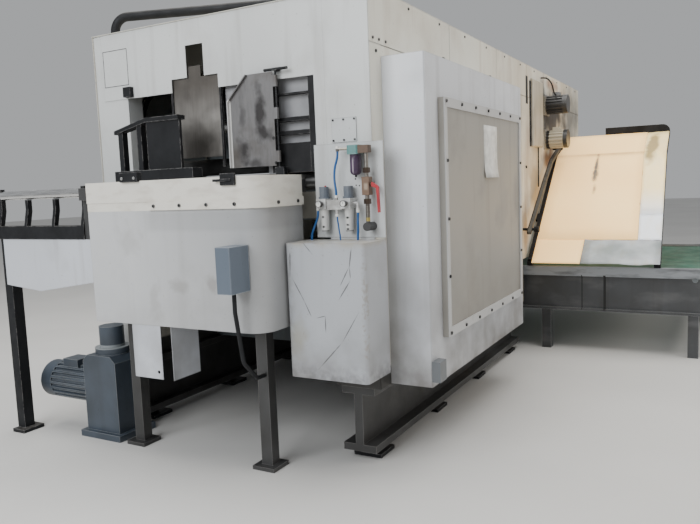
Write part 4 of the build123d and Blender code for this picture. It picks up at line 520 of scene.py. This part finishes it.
def guard_boards():
    """Tan board with a dark crease, a shade towards its far edge and dark smears below the crease."""
    made = Surface("guard_board", 0.6)
    made.colour(made.mix(made.noise(1.6, 0.3, 0.7), (0.94, 0.59, 0.23), (1.0, 0.67, 0.28)))
    fibres = made.noise(30, 0.45, 0.65, detail=8, stretch=(1, 6, 1))
    made.over(made.times(fibres, 0.12), (0.60, 0.45, 0.30))
    crease = made.band(X, 3.955, 3.985, 0.02)
    made.over(made.times(crease, made.noise(4, 0.2, 0.6), 0.7), (0.25, 0.14, 0.06))
    far_shade = made.times(made.fade(Y, -0.45, -0.05), made.fade(X, 3.5, 4.1))
    made.over(made.times(far_shade, 0.25), (0.50, 0.35, 0.22))
    dark = (
        ((3.84, -0.455, 1.58), (0.19, 0.020, 0.4), 0.9), ((3.76, -0.46, 1.51), (0.12, 0.036, 0.4), 0.8),
        ((3.60, -0.475, 1.38), (0.06, 0.022, 0.3), 0.6), ((3.44, -0.895, 1.23), (0.014, 0.014, 0.3), 0.8),
    )
    made.smears(dark, (0.07, 0.06, 0.05), soft=0.7, ragged=0.22, grain=20.0)
    made.roughness(fibres, 0.5, 0.7)
    made.bump(made.noise(90, 0.3, 0.7, detail=4), 0.08, 0.0008)
    # Painted light: the board glows as if daylight came through it from behind.
    glow(made, 1.15)
    return made


def guard_films(name, alpha, light):
    """Milky strip that is yellow beside the board, with a brown band near its high end, and mottled grey on
    the low sheet as painted light and shade of its wrinkles.
    """
    made = Surface(name, 0.25)
    made.colour(made.mix(made.fade(X, FILM_X, 3.6), (0.78, 0.81, 0.85), (1.0, 0.80, 0.40)))
    creases = made.noise(7, 0.5, 0.62, detail=6, stretch=(1, 2.5, 1))
    made.over(made.times(creases, 0.3), (0.74, 0.66, 0.46))
    brown = ((4.22, -0.92, 1.80), (0.44, 0.060, 0.5), 0.85)
    made.smears([brown], (0.30, 0.21, 0.08), soft=0.5, ragged=0.3, grain=6.0)
    # Painted light and shade: mottled grey over the low sheet stands in for the lights and darks of its
    # wrinkles.
    low_end = made.fade(X, GUARD_SEAM, GUARD_SEAM - 0.014)
    grey = made.noise(3.2, 0.35, 0.66, 3, (1.3, 1, 1))
    made.over(made.times(low_end, grey, 0.8), (0.30, 0.35, 0.34))
    made.put(made.shader.inputs["Alpha"], alpha)
    # Painted light: the film glows as if daylight came through it from behind.
    glow(made, light)
    made.bump(made.noise(14, 0.3, 0.7, detail=3), 0.35, 0.004)
    return made


def dark_below(surface):
    """Painted shade: dark colour on what stands under the skins of the press."""
    press_end = (2.9, 2.7)
    low = surface.times(surface.fade(Z, *SKIN_EDGE), surface.fade(X, *press_end))
    return surface.over(low, UNDER_SKIN_SHADE, roughness=0.6)


def inner_frame_paint():
    """Black side-lay frame and rails, with the pale plates behind them and the bolted hanger plate."""
    made = coated("inner_frame", (0.010, 0.010, 0.011), 0.6, dust=0.1, edge=0.45)
    pale = made.mix(made.noise(6, 0.3, 0.7, detail=8), (0.27, 0.27, 0.28), (0.40, 0.40, 0.41))
    made.over(made.fade(X, *PALE_PLATES_X), pale)
    made.over(made.times(made.band(X, *HANGER_X, 0.0003), made.band(Y, *HANGER_Y)), pale)
    for z in HANGER_BOLT_HEIGHTS:
        made.over(made.dot((*HANGER_BOLT, z), (0.03, 0.008, 0.008)), (0.03, 0.03, 0.03))
    return made


def guard_steel():
    """Black tubes and edge of the guard, with its strut in worn grey."""
    made = coated("guard_steel", (0.009, 0.009, 0.010), 0.65, dust=0.04, edge=0.4)
    strut = made.band(Y, -0.082, -0.053)
    made.over(made.times(strut, made.noise(9, 0.2, 0.5, detail=6)), (0.10, 0.093, 0.08))
    return made


def plywood():
    """Plywood with its grain across the machine."""
    made = Surface("die_plywood", 0.4)
    grain = made.noise(3, 0.3, 0.7, detail=9, stretch=(1, 22, 1))
    made.colour(made.mix(grain, (0.42, 0.27, 0.14), (0.66, 0.48, 0.29)))
    made.roughness(grain, 0.3, 0.5)
    made.bump(grain, 0.1, 0.0008)
    return made


def filter_metal():
    """Teal filter head with a nickel elbow whose upright end is dark under a pale cap, and a bronze tee."""
    made = painted("filter_teal", (0.10, 0.24, 0.23), 0.4, edge=0.6, edge_colour=(0.45, 0.5, 0.5))
    elbow, upright_end, cap, tee = (0.1115, 0.1125), (0.160, 0.161), (1.689, 1.692), (0.0465, 0.0455)
    made.over(made.fade(Y, *elbow), (0.40, 0.36, 0.30), 0.9, 0.3)
    upright = made.fade(Y, *upright_end)
    made.over(upright, (0.14, 0.13, 0.12), 0.3)
    made.over(made.times(upright, made.fade(Z, *cap)), (0.78, 0.77, 0.73), 0.0, 0.4)
    made.over(made.fade(Y, *tee), (0.12, 0.085, 0.065), 0.7, 0.42)
    return made


def pipe_metal():
    """Nickel pipe with a bronze valve that has a painted highlight, dark unions, a yellow nut and a dark
    foot.
    """
    made = metal("pipe_nickel", (0.27, 0.25, 0.225), 0.34, oil=0.4)
    valve, nut, foot = (1.4498, 1.5422), (1.318, 1.336), 1.3165
    unions = (1.4048, 1.4312), (1.5618, 1.5882)
    made.over(made.band(Z, *valve, 0.0004), (0.19, 0.13, 0.095), 0.8, 0.4)
    # Painted highlight on the front of the bronze valve.
    shine = made.times(made.band(Z, 1.478, 1.508, 0.006), made.band(Y, -0.004, 0.016, 0.004))
    made.over(made.times(shine, 0.55), (0.52, 0.43, 0.33))
    for union in unions:
        made.over(made.band(Z, *union, 0.0004), (0.09, 0.065, 0.05), 0.8, 0.4)
    made.over(made.band(Z, *nut, 0.0006), (0.42, 0.33, 0.10), 0.6, 0.4)
    made.over(made.fade(Z, foot, foot - 0.003), (0.05, 0.05, 0.05), 0.3, 0.5)
    return made


def regulator_metal():
    """Silver regulators and their link, with pale bowl guards that have small dark slots."""
    made = metal("regulator_silver", (0.60, 0.60, 0.59), 0.38, brushed=(2, 2, 12), oil=0.35, metallic=0.7)
    guard_top, guard_face, drain, link = (1.3852, 1.3848), -0.068, (1.265, 1.272), (0.1545, 0.2435)
    made.over(made.fade(Z, *guard_top), (0.62, 0.62, 0.60), 0.15, 0.42)
    for y, heights in zip(REGULATOR_Y, ((1.342, 1.290), (1.337, 1.300, 1.278))):
        for z in heights:
            slot = made.spot((guard_face, y, z), (0.02, 0.011, 0.0075), soft=0.5, ragged=0.15, grain=60.0)
            made.over(slot, (0.02, 0.02, 0.02), 0.0, 0.6)
    made.over(made.times(made.band(Z, *drain), 0.8), (0.10, 0.10, 0.10), 0.2)
    made.over(made.times(made.band(Y, *link), made.noise(30, 0.3, 0.6)), (0.42, 0.41, 0.39))
    return made


def board_paint():
    """White board with three small holes."""
    made = painted("white_board", (0.55, 0.565, 0.565), 0.4, patches=0.3, runs=0.25, edge=0.6)
    for y, z, radius in ((0.103, 1.534, 0.0055), (0.100, 1.501, 0.0045), (0.081, 1.499, 0.0045)):
        made.over(made.dot((BOARD_X, y, z), (0.02, radius, radius)), (0.01, 0.01, 0.01))
    return made


def box_paint():
    """Blue-grey junction box, the beige electrical box and the grey outlet."""
    made = painted("box_blue_grey", (0.105, 0.13, 0.165), 0.42, (0.05, 0.05, 0.05), patches=0.3, edge=0.85,
                   edge_colour=(0.50, 0.52, 0.54))
    beige = made.fade(X, *SIDE_GEAR)
    made.over(beige, (0.50, 0.46, 0.37))
    made.over(made.times(beige, made.noise(5, 0.5, 0.75, 9, (4, 4, 0.6)), 0.55), (0.25, 0.18, 0.11))
    outlet = made.times(made.fade(X, 0.0, 0.1), made.fade(X, 1.1, 1.0))
    made.over(outlet, (0.13, 0.14, 0.15))
    return made


def motor_paint():
    """Dark blue gear motor, and the side motors: the upper one dark with painted light on its upper half, the
    lower one beige with dark rings.
    """
    made = painted("motor_blue", (0.055, 0.072, 0.095), 0.42, (0.02, 0.02, 0.02), patches=0.4, edge=0.7,
                   edge_colour=(0.32, 0.33, 0.33))
    pale_ring = made.times(made.fade(X, -0.05, -0.1), made.band(Z, 0.555, 0.575))
    made.over(pale_ring, (0.26, 0.28, 0.29))
    sides = made.fade(X, *SIDE_GEAR)
    made.over(sides, (0.035, 0.034, 0.033))
    flanges = made.times(sides, made.fade(Y, -0.022, -0.012))
    made.over(flanges, (0.34, 0.31, 0.25))
    upper = made.times(sides, made.fade(Z, 2.05, 2.06))
    # Painted light: the upper half of the upper side motor is lighter, as lit from above.
    made.over(made.times(upper, made.fade(Z, 2.27, 2.29), 0.8), (0.22, 0.22, 0.22))
    lower = made.times(sides, made.fade(Z, 2.04, 2.03), made.band(Y, -0.175, -0.045))
    made.over(made.times(lower, made.noise(9, 0.1, 0.4, detail=6)), (0.52, 0.47, 0.36))
    return made


def knob_plastic(name):
    """Blue-grey plastic of the regulators' knobs."""
    return moulded(name, (0.115, 0.135, 0.165), 0.5, 0.25)


def bowl_plastic():
    """Dark violet bowl with a painted highlight down its middle and a black drain."""
    made = moulded("bowl_plastic", (0.05, 0.025, 0.06), 0.14, 0.1)
    # Painted highlight: a pale streak where the glossy bowl catches light.
    bowl_highlight = made.times(made.band(Y, 0.076, 0.082, 0.003), made.band(Z, 1.565, 1.635, 0.01))
    made.over(made.times(bowl_highlight, 0.7), (0.55, 0.48, 0.55))
    drain = made.fade(Z, 1.5525, 1.5515)
    made.over(drain, (0.03, 0.03, 0.03))
    return made


def make_materials():
    """Every material by its name."""
    return {
        "grey": dark_below(painted("machine_grey", (0.60, 0.61, 0.60), fall=0.85)),
        "cover": painted("cover_grey", (0.70, 0.715, 0.745), 0.42, patches=0.22, runs=0.25, foot=0.7,
                         foot_span=(1.1, side("side_cover", Z)), fall=0.72),
        "panel": panel_paint(),
        "skin": skin_beige(),
        "cream": dark_below(painted("frame_cream", (0.52, 0.50, 0.44), 0.55, patches=0.5, runs=0.4)),
        "cast": painted("cast_paint", (0.15, 0.17, 0.18), 0.5, (0.04, 0.035, 0.03), patches=0.6,
                        edge_colour=(0.4,) * 3),
        "base": base_paint(),
        "apron": apron_paint(),
        "skirt": painted("skirt_white", (0.56, 0.58, 0.62), 0.42, patches=0.4, runs=0.4, foot=0.6),
        "cabinet": cabinet_paint(),
        "board": board_paint(),
        "boxes": box_paint(),
        "conveyor": conveyor_paint(),
        "motor": motor_paint(),
        "steel": metal("ground_steel", (0.50, 0.50, 0.49), 0.38),
        "bright": metal("bright_steel", (0.72, 0.72, 0.72), 0.2, oil=0.1),
        "gate": gate_steel(),
        "flap": flap_steel(),
        "black": coated("black_steel", (0.011, 0.0115, 0.013), 0.55, dust=0.15),
        "inner_frame": inner_frame_paint(),
        "rubber": coated("black_rubber", (0.03, 0.03, 0.03), 0.7, edge=0.2, dust=0.35),
        "belt": coated("green_belt", (0.04, 0.115, 0.08), 0.6, edge=0.3, dust=0.12),
        "guard_frame": guard_steel(),
        "plywood": plywood(),
        "aluminium": metal("aluminium", (0.60, 0.60, 0.60), 0.4, oil=0.15),
        "pipe": pipe_metal(),
        "filter": filter_metal(),
        "regulator": regulator_metal(),
        "bowl": bowl_plastic(),
        "left_knob": knob_plastic("left_knob_plastic"),
        "right_knob": knob_plastic("right_knob_plastic"),
        "blue": moulded("blue_tube", (0.012, 0.10, 0.30), 0.3, 0.1),
        "red": moulded("red_lever", (0.40, 0.012, 0.022), 0.35),
        "black_plastic": moulded("black_plastic", (0.02, 0.02, 0.022), 0.4, 0.25),
        "white": moulded("dial_white", (0.78, 0.78, 0.75), 0.4, 0.1),
        "paper": moulded("bare_paper", (0.80, 0.79, 0.75), 0.7, 0.2),
        "guard": guard_boards(),
        "film": guard_films("clear_film", 0.95, 0.60),
        "low_film": guard_films("low_clear_film", 0.55, 0.10),
    }


# CAD nodes that take each material
NODE_MATERIALS = {
    "grey": ("fascia", "pillars"),
    "cover": ("side_cover",),
    "panel": ("access_panel",),
    "skin": ("side_panels", "top_panels"),
    "cream": ("press_frames", "cross_beams", "delivery_frames"),
    "cast": ("bed", "lift_cylinders", "moving_platen", "upper_platen", "shaft_bearings",
             "near_drum", "far_drum"),
    "base": ("base_rails", "feeder_frame"),
    "apron": ("apron",),
    "skirt": ("feeder_panels",),
    "cabinet": ("cabinet",),
    "board": ("frl_plate",),
    "boxes": ("junction_boxes",),
    "conveyor": ("conveyor_frame",),
    "motor": ("motors",),
    "steel": ("guide_rails", "cutting_plate", "chase", "feed_table",
              "front_chain_shaft", "rear_chain_shaft", "motor_pulley", "lower_feed_roll"),
    "bright": ("rams", "feeder_roller"),
    "gate": ("front_gate",),
    "flap": ("guard_flap",),
    "black": ("leveling_feet", "gripper_chains", "conduits", "cover_bolts", "flap_hinge", "sheet_supports"),
    "inner_frame": ("inner_front_frame",),
    "guard_frame": ("guard_frame",),
    "rubber": ("drive_belt", "upper_feed_roll"),
    "belt": ("conveyor_belt",),
    "plywood": ("die_board",),
    "aluminium": ("gripper_bars",),
    "filter": ("air_filter",),
    "bowl": ("filter_bowl",),
    "pipe": ("supply_pipe",),
    "red": ("valve_lever",),
    "regulator": ("regulators",),
    "left_knob": ("left_knob",),
    "right_knob": ("right_knob",),
    "black_plastic": ("gauges",),
    "blue": ("air_tubes",),
    "guard": ("delivery_guard",),
}


def dress_nodes(materials):
    """Gives each CAD node its material."""
    for key, nodes in NODE_MATERIALS.items():
        for name in nodes:
            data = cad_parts[name].data
            data.materials.clear()
            data.materials.append(materials[key].material)
    left = set(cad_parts) - {n for names in NODE_MATERIALS.values() for n in names}
    assert not left, left


def make_camera():
    """Camera at the photograph's place and angle."""
    yaw, pitch, roll = (radians(a) for a in (CAMERA_YAW, CAMERA_PITCH, CAMERA_ROLL))
    ahead = Vector((cos(yaw) * cos(pitch), sin(yaw) * cos(pitch), -sin(pitch)))
    level = Vector((sin(yaw), -cos(yaw), 0))
    down = ahead.cross(level)
    right = level * cos(roll) + down * sin(roll)
    below = down * cos(roll) - level * sin(roll)
    data = bpy.data.cameras.new("photo_camera")
    data.sensor_width = SENSOR_WIDTH
    data.lens = data.sensor_width * FOCAL_PIXELS / PHOTO_WIDTH
    data.clip_end = VIEW_END
    camera = bpy.data.objects.new("photo_camera", data)
    turn = Matrix((right, -below, -ahead)).transposed()
    camera.matrix_world = Matrix.Translation(at(*CAMERA_PLACE)) @ turn.to_4x4()
    bpy.context.scene.collection.objects.link(camera)
    bpy.context.scene.camera = camera


def area_light(name, place, aim, size, power, colour):
    """Soft light at a place, aimed at a point."""
    data = bpy.data.lights.new(name, "AREA")
    data.shape = "RECTANGLE"
    data.size, data.size_y = size
    data.energy = power
    data.color = colour
    light = bpy.data.objects.new(name, data)
    light.location = at(*place)
    light.rotation_euler = (at(*aim) - at(*place)).to_track_quat("-Z", "Y").to_euler()
    bpy.context.scene.collection.objects.link(light)


def make_stage():
    """Pale floor, pale surroundings and soft lights."""
    world = bpy.data.worlds.new("pale_room")
    world.use_nodes = True
    backdrop = world.node_tree.nodes["Background"]
    backdrop.inputs["Color"].default_value = (0.84, 0.86, 0.88, 1)
    backdrop.inputs["Strength"].default_value = 0.5
    bpy.context.scene.world = world
    mesh = bpy.data.meshes.new("floor")
    shape = bmesh.new()
    bmesh.ops.create_grid(shape, x_segments=8, y_segments=8, size=FLOOR_HALF)
    shape.to_mesh(mesh)
    shape.free()
    floor = bpy.data.objects.new("floor", mesh)
    surface = Surface("pale_floor", 0.7)
    surface.colour(surface.mix(surface.noise(0.7, 0.3, 0.7), (0.56, 0.55, 0.53), (0.62, 0.61, 0.59)))
    mesh.materials.append(surface.material)
    bpy.context.scene.collection.objects.link(floor)
    area_light("roof_light", (1.5, 0.5, 7.5), (2.2, 0.8, 0), (9, 7), 760, (1.0, 0.99, 0.96))
    area_light("infeed_light", (-6.5, 1.5, 4.6), (0, 0.8, 1.2), (5, 4), 470, (0.94, 0.97, 1.0))
    area_light("near_light", (3.5, -7.5, 4.2), (2.5, 0, 1.2), (6, 4), 190, (1.0, 0.94, 0.86))


def mesh_piece(name, shape, place, body, material, bevel=0.0, smooth=False):
    """Object of a finished bmesh that rides on a body, with rounded edges where a bevel is given."""
    mesh = bpy.data.meshes.new(name)
    shape.to_mesh(mesh)
    shape.free()
    made = bpy.data.objects.new(name, mesh)
    made.location = place
    bpy.context.scene.collection.objects.link(made)
    mesh.materials.append(material.material)
    for face in mesh.polygons:
        face.use_smooth = smooth
    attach(made, body)
    if bevel:
        rounding = made.modifiers.new("rounding", "BEVEL")
        rounding.width = bevel
        rounding.segments = 2
        rounding.limit_method = "ANGLE"
    return made


def slab(name, low, high, material, bevel=0.0012):
    """Bar or plate with rounded edges between two corners."""
    low, high = at(*low), at(*high)
    shape = bmesh.new()
    bmesh.ops.create_cube(shape, size=1)
    bmesh.ops.scale(shape, vec=high - low, verts=shape.verts)
    return mesh_piece(name, shape, (low + high) / 2, MACHINE, material, bevel)


def turned(name, profile, place, direction, material, body=MACHINE, steps=40):
    """Lathe form: the profile's points are (radius, distance along the direction), with both ends closed."""
    shape = bmesh.new()
    rings = []
    for radius, height in profile:
        ring = []
        for i in range(steps):
            angle = 2 * pi * i / steps
            ring.append(shape.verts.new((radius * cos(angle), radius * sin(angle), height)))
        rings.append(ring)
    for below, above in zip(rings, rings[1:]):
        for i in range(steps):
            j = (i + 1) % steps
            shape.faces.new((below[i], below[j], above[j], above[i]))
    shape.faces.new(rings[0][::-1])
    shape.faces.new(rings[-1])
    turn = Vector(direction).to_track_quat("Z", "Y").to_matrix().to_4x4()
    bmesh.ops.transform(shape, matrix=turn, verts=shape.verts)
    made = mesh_piece(name, shape, at(*place), body, material, smooth=True)
    made.modifiers.new("creases", "EDGE_SPLIT").split_angle = radians(35)
    return made


def grid_sheet(name, rows, thickness, material):
    """Thin sheet whose outer face goes through rows of points in the row frame."""
    shape = bmesh.new()
    verts = [[shape.verts.new(point) for point in row] for row in rows]
    for row, following in zip(verts, verts[1:]):
        for i in range(len(row) - 1):
            shape.faces.new((row[i], following[i], following[i + 1], row[i + 1]))
    made = mesh_piece(name, shape, (0, 0, 0), MACHINE, material, smooth=True)
    made.modifiers.new("creases", "EDGE_SPLIT").split_angle = radians(25)
    made.modifiers.new("sheet", "SOLIDIFY").thickness = thickness
    return made


def guard_rows(x, near, far, thickness, crinkle, seed):
    """Rows of points on the guard's upper face, between two places along x and two slanting edges."""
    random = Random(seed)
    start, stop = x
    crease = GUARD_CREASE[0]
    inner = (start + (stop - start) * i / GUARD_STEPS_ALONG for i in range(1, GUARD_STEPS_ALONG))
    stations = {start, stop, *inner}
    if start < crease < stop:
        stations.add(crease)
    rows = []
    for place in sorted(stations):
        low, high = (GUARD_LOW, GUARD_CREASE) if place <= crease else (GUARD_CREASE, GUARD_HIGH)
        slope = (high[1] - low[1]) / (high[0] - low[0])
        height = low[1] + slope * (place - low[0])
        share = (place - GUARD_LOW[0]) / (GUARD_HIGH[0] - GUARD_LOW[0])
        near_y, far_y = (ends[0] + (ends[1] - ends[0]) * share for ends in (near, far))
        lift = thickness * (1 + slope ** 2) ** 0.5
        row = []
        for i in range(GUARD_STEPS_ACROSS + 1):
            y = near_y + (far_y - near_y) * i / GUARD_STEPS_ACROSS
            row.append(at(place, y, height + lift + random.uniform(0, crinkle)))
        rows.append(row)
    return rows


def dress_guard(materials):
    """Board, lower board, yellowed strip, its low end, and the clear sheet below, each with its own look."""
    low, seam, high = GUARD_LOW[0], GUARD_SEAM, GUARD_HIGH[0]
    for name, x, near, far, thickness, key, crinkle, seed in (
        ("guard_board_upper", (seam, high), BOARD_NEAR, GUARD_FAR, 0.008, "guard", 0.0, 1),
        ("guard_board_lower", (low, seam - SEAM_GAP), LOWER_NEAR, GUARD_FAR, 0.006, "guard", 0.0, 1),
        ("guard_strip", (FILM_X, high), FILM_NEAR, STRIP_FAR, 0.003, "film", 0.004, 1),
        ("guard_strip_end", (seam, FILM_X), FILM_NEAR, STRIP_FAR, 0.002, "film", 0.006, 1),
        ("guard_low_sheet", (low, seam), FILM_NEAR, LOW_SHEET_FAR, 0.001, "low_film", 0.010, 2),
    ):
        rows = guard_rows(x, near, far, thickness, crinkle, seed)
        grid_sheet(name, rows, thickness, materials[key])
    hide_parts("delivery_guard")


def dress_fascia(materials):
    """Seam of the hatch and the small sensor block on the infeed face."""
    dark = materials["black"]
    y0, y1, z0, z1 = 1.68, 1.885, 2.174, 2.392
    seam, proud = 0.004, 0.001
    for name, low, high in (
        ("hatch_seam_left", (y0, z0), (y0 + seam, z1)), ("hatch_seam_right", (y1, z0), (y1 + seam, z1)),
        ("hatch_seam_low", (y0, z0), (y1, z0 + seam)), ("hatch_seam_top", (y0, z1), (y1 + seam, z1 + seam)),
    ):
        slab(name, (FASCIA_X - proud, *low), (FASCIA_X + proud, *high), dark, bevel=0.0003)
    sensor_low, sensor_high, sensor_depth = (1.645, 2.097), (1.707, 2.158), 0.03
    slab("sensor_block", (FASCIA_X - sensor_depth, *sensor_low), (FASCIA_X, *sensor_high), dark)


def dress_paper(materials):
    """Bare sheet of paper on the access panel, whose lower end curls away from it."""
    x0, x1, z0, z1 = 0.968, 1.236, 1.517, 1.838
    lift, curl, steps, flat_steps = 0.001, 0.012, 8, 5
    rows = []
    for i in range(steps + 1):
        z = z1 + (z0 - z1) * i / steps
        away = lift + curl * (max(0, i - flat_steps) / (steps - flat_steps)) ** 2
        rows.append([at(x0 + (x1 - x0) * j / 2, PANEL_FIELD_Y - away, z) for j in range(3)])
    grid_sheet("paper_sheet", rows, 0.0004, materials["paper"])


def dress_side(materials):
    """Slot, dark strip for the gap and its painted shadow, lead and bolt beside the electrical box."""
    dark = materials["black"]
    for name, (x0, x1), (z0, z1), proud, bevel in (
        ("skin_slot", (3.01, 3.07), (2.16, 2.40), 0.003, 0.001),
        # Dark strip for the gap left of the electrical box, with the shadow there painted into it.
        ("box_gap_shade", (3.13, 3.158), (1.79, 2.37), 0.012, 0.001),
        ("box_lead", (3.42, 3.432), (1.42, 1.79), 0.010, 0.004),
    ):
        slab(name, (x0, SKIN_Y - proud, z0), (x1, SKIN_Y, z1), dark, bevel=bevel)
    bolt = [(0.014, 0.0), (0.014, 0.008), (0.010, 0.010)]
    bolt_place = (2.992, SKIN_Y, 1.605)
    turned("skin_bolt", bolt, bolt_place, (0, -1, 0), dark, steps=6)


def dress_gauges(materials):
    """Gauges with a bezel, a white dial with marks and a needle."""
    gauges = [((GAUGE_X, y, REGULATOR_MIDDLE), *GAUGE_SIZE) for y in REGULATOR_Y]
    gauges.append((LOW_DIAL, *LOW_DIAL_SIZE))
    black = materials["black_plastic"]
    bezel, dial_depth, marks, mark_half, needle_half = 0.003, 0.0006, 9, 0.0009, 0.0008
    for index, (place, radius, depth) in enumerate(gauges):
        rim = depth - bezel
        case = [(radius * 0.8, 0.0), (radius, depth * 0.3), (radius, depth), (radius * 0.88, depth),
                (radius * 0.86, rim)]
        turned(f"gauge_case_{index}", case, place, (-1, 0, 0), black)
        dial = [(radius * 0.84, rim), (radius * 0.84, rim + dial_depth)]
        turned(f"gauge_dial_{index}", dial, place, (-1, 0, 0), materials["white"])
        x, y, z = place
        face = x - rim - dial_depth
        for mark in range(marks):
            angle = radians(-30 + mark * 30)
            my, mz = y + radius * 0.7 * cos(angle), z + radius * 0.7 * sin(angle)
            slab(f"gauge_mark_{index}_{mark}", (face - 0.0004, my - mark_half, mz - mark_half),
                 (face, my + mark_half, mz + mark_half), black, bevel=0.0002)
        slab(f"gauge_needle_{index}", (face - 0.001, y - needle_half, z - 0.003),
             (face - 0.0004, y + needle_half, z + radius * 0.6), black, bevel=0.0003)
    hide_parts("gauges")


def dress_air_gear(materials):
    """Pale sleeves where the tubes enter, and the red button on the left knob."""
    white = materials["white"]
    sleeve = [(0.0095, 0.0), (0.0095, 0.010), (0.0075, 0.013)]
    for name, place, way in (
        ("port_sleeve_top", (PIPE_X, 0.19, 1.4401), 1), ("port_sleeve_low", (PIPE_X, 0.19, 1.3559), -1),
        ("outlet_sleeve", (BOWL_X, 0.074, 1.3749), -1),
    ):
        turned(name, sleeve, place, (0, 0, way), white, steps=24)
    button = [(0.005, 0.0), (0.005, 0.004), (0.003, 0.006)]
    button_place = (BOWL_X - 0.012, 0.256, side("left_knob", Z, HIGH))
    turned("knob_button", button, button_place, (0, 0, 1), materials["red"], "left_knob", 20)


def dress_apron(materials):
    """Black catches over the table's edge, the far one with its two bolts."""
    black = materials["black"]
    face = APRON_BAND_X
    for name, (x0, x1), (y0, y1), (z0, z1), bevel in (
        ("near_catch", (-0.016, 0), (0.53, 0.62), (1.525, 1.585), 0.003),
        ("near_catch_arm", (-0.024, -0.016), (0.55, 0.66), (1.545, 1.558), 0.002),
        ("far_catch", (-0.018, 0.02), (1.18, 1.31), (1.565, 1.617), 0.003),
    ):
        slab(name, (face + x0, y0, z0), (face + x1, y1, z1), black, bevel=bevel)
    bolt = [(0.008, 0.0), (0.008, 0.004), (0.006, 0.006)]
    for y in (1.20, 1.29):
        turned(f"catch_bolt_{round(y * 100)}", bolt, (face - 0.018, y, 1.585), (-1, 0, 0),
               materials["steel"], steps=18)


def make_cord(name, route, radius, material):
    """Free tube or cable on a route."""
    curve = bpy.data.curves.new(name, "CURVE")
    curve.dimensions = "3D"
    curve.bevel_depth = radius
    curve.bevel_resolution = 5
    curve.resolution_u = 12
    spline = curve.splines.new("NURBS")
    spline.points.add(len(route) - 1)
    for point, place in zip(spline.points, route):
        point.co = (*at(*place), 1)
    spline.order_u = 3
    spline.use_endpoint_u = True
    piece = bpy.data.objects.new(name, curve)
    bpy.context.scene.collection.objects.link(piece)
    curve.materials.append(material.material)
    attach(piece, MACHINE)
    at(*route[0])
    return piece


def make_cords(materials):
    """Blue air tubes on the routes of the part's source, and the upper side motor's cable."""
    feed = ((0.174, 1.677), (0.174, 1.655), (0.181, 1.629), (0.192, 1.600), (0.198, 1.562), (0.198, 1.520),
            (0.190, 1.476), (0.190, 1.440))
    drop = ((0.190, 1.356), (0.190, 1.332), (0.185, 1.300), (0.181, 1.264), (0.176, 1.240), (0.176, 1.220))
    left = ((0.314, 1.375), (0.314, 1.354), (0.321, 1.329), (0.335, 1.301), (0.349, 1.271), (0.360, 1.246),
            (0.360, 1.220))
    right = ((0.074, 1.375), (0.074, 1.354), (0.077, 1.318), (0.076, 1.280), (0.080, 1.243), (0.080, 1.220))
    blue = materials["blue"]
    feed_tube = make_cord("feed_tube", [(PIPE_X, y, z) for y, z in feed], TUBE_R, blue)
    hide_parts("air_tubes")
    make_cord("drop_tube", [(PIPE_X, y, z) for y, z in drop], SMALL_TUBE_R, blue)
    make_cord("left_tube", [(BOWL_X, y, z) for y, z in left], TUBE_R, blue)
    make_cord("right_tube", [(BOWL_X, y, z) for y, z in right], TUBE_R, blue)
    x, y, z = SIDE_MOTOR
    cable = ((x - 0.19, SKIN_Y, z + 0.15), (x - 0.19, -0.05, z + 0.15), (x - 0.175, -0.09, z + 0.11),
             (x - 0.15, y, z + 0.05), (x - 0.11, y, z), (x - 0.044, y, z))
    make_cord("motor_cable", cable, MOTOR_CABLE_R, materials["rubber"])


def main():
    """Looks of the CAD nodes, camera and stage, and the pieces that the CAD leaves out."""
    materials = make_materials()
    dress_nodes(materials)
    make_camera()
    make_stage()
    dress_fascia(materials)
    dress_paper(materials)
    dress_side(materials)
    dress_guard(materials)
    dress_gauges(materials)
    dress_air_gear(materials)
    dress_apron(materials)
    make_cords(materials)


main()
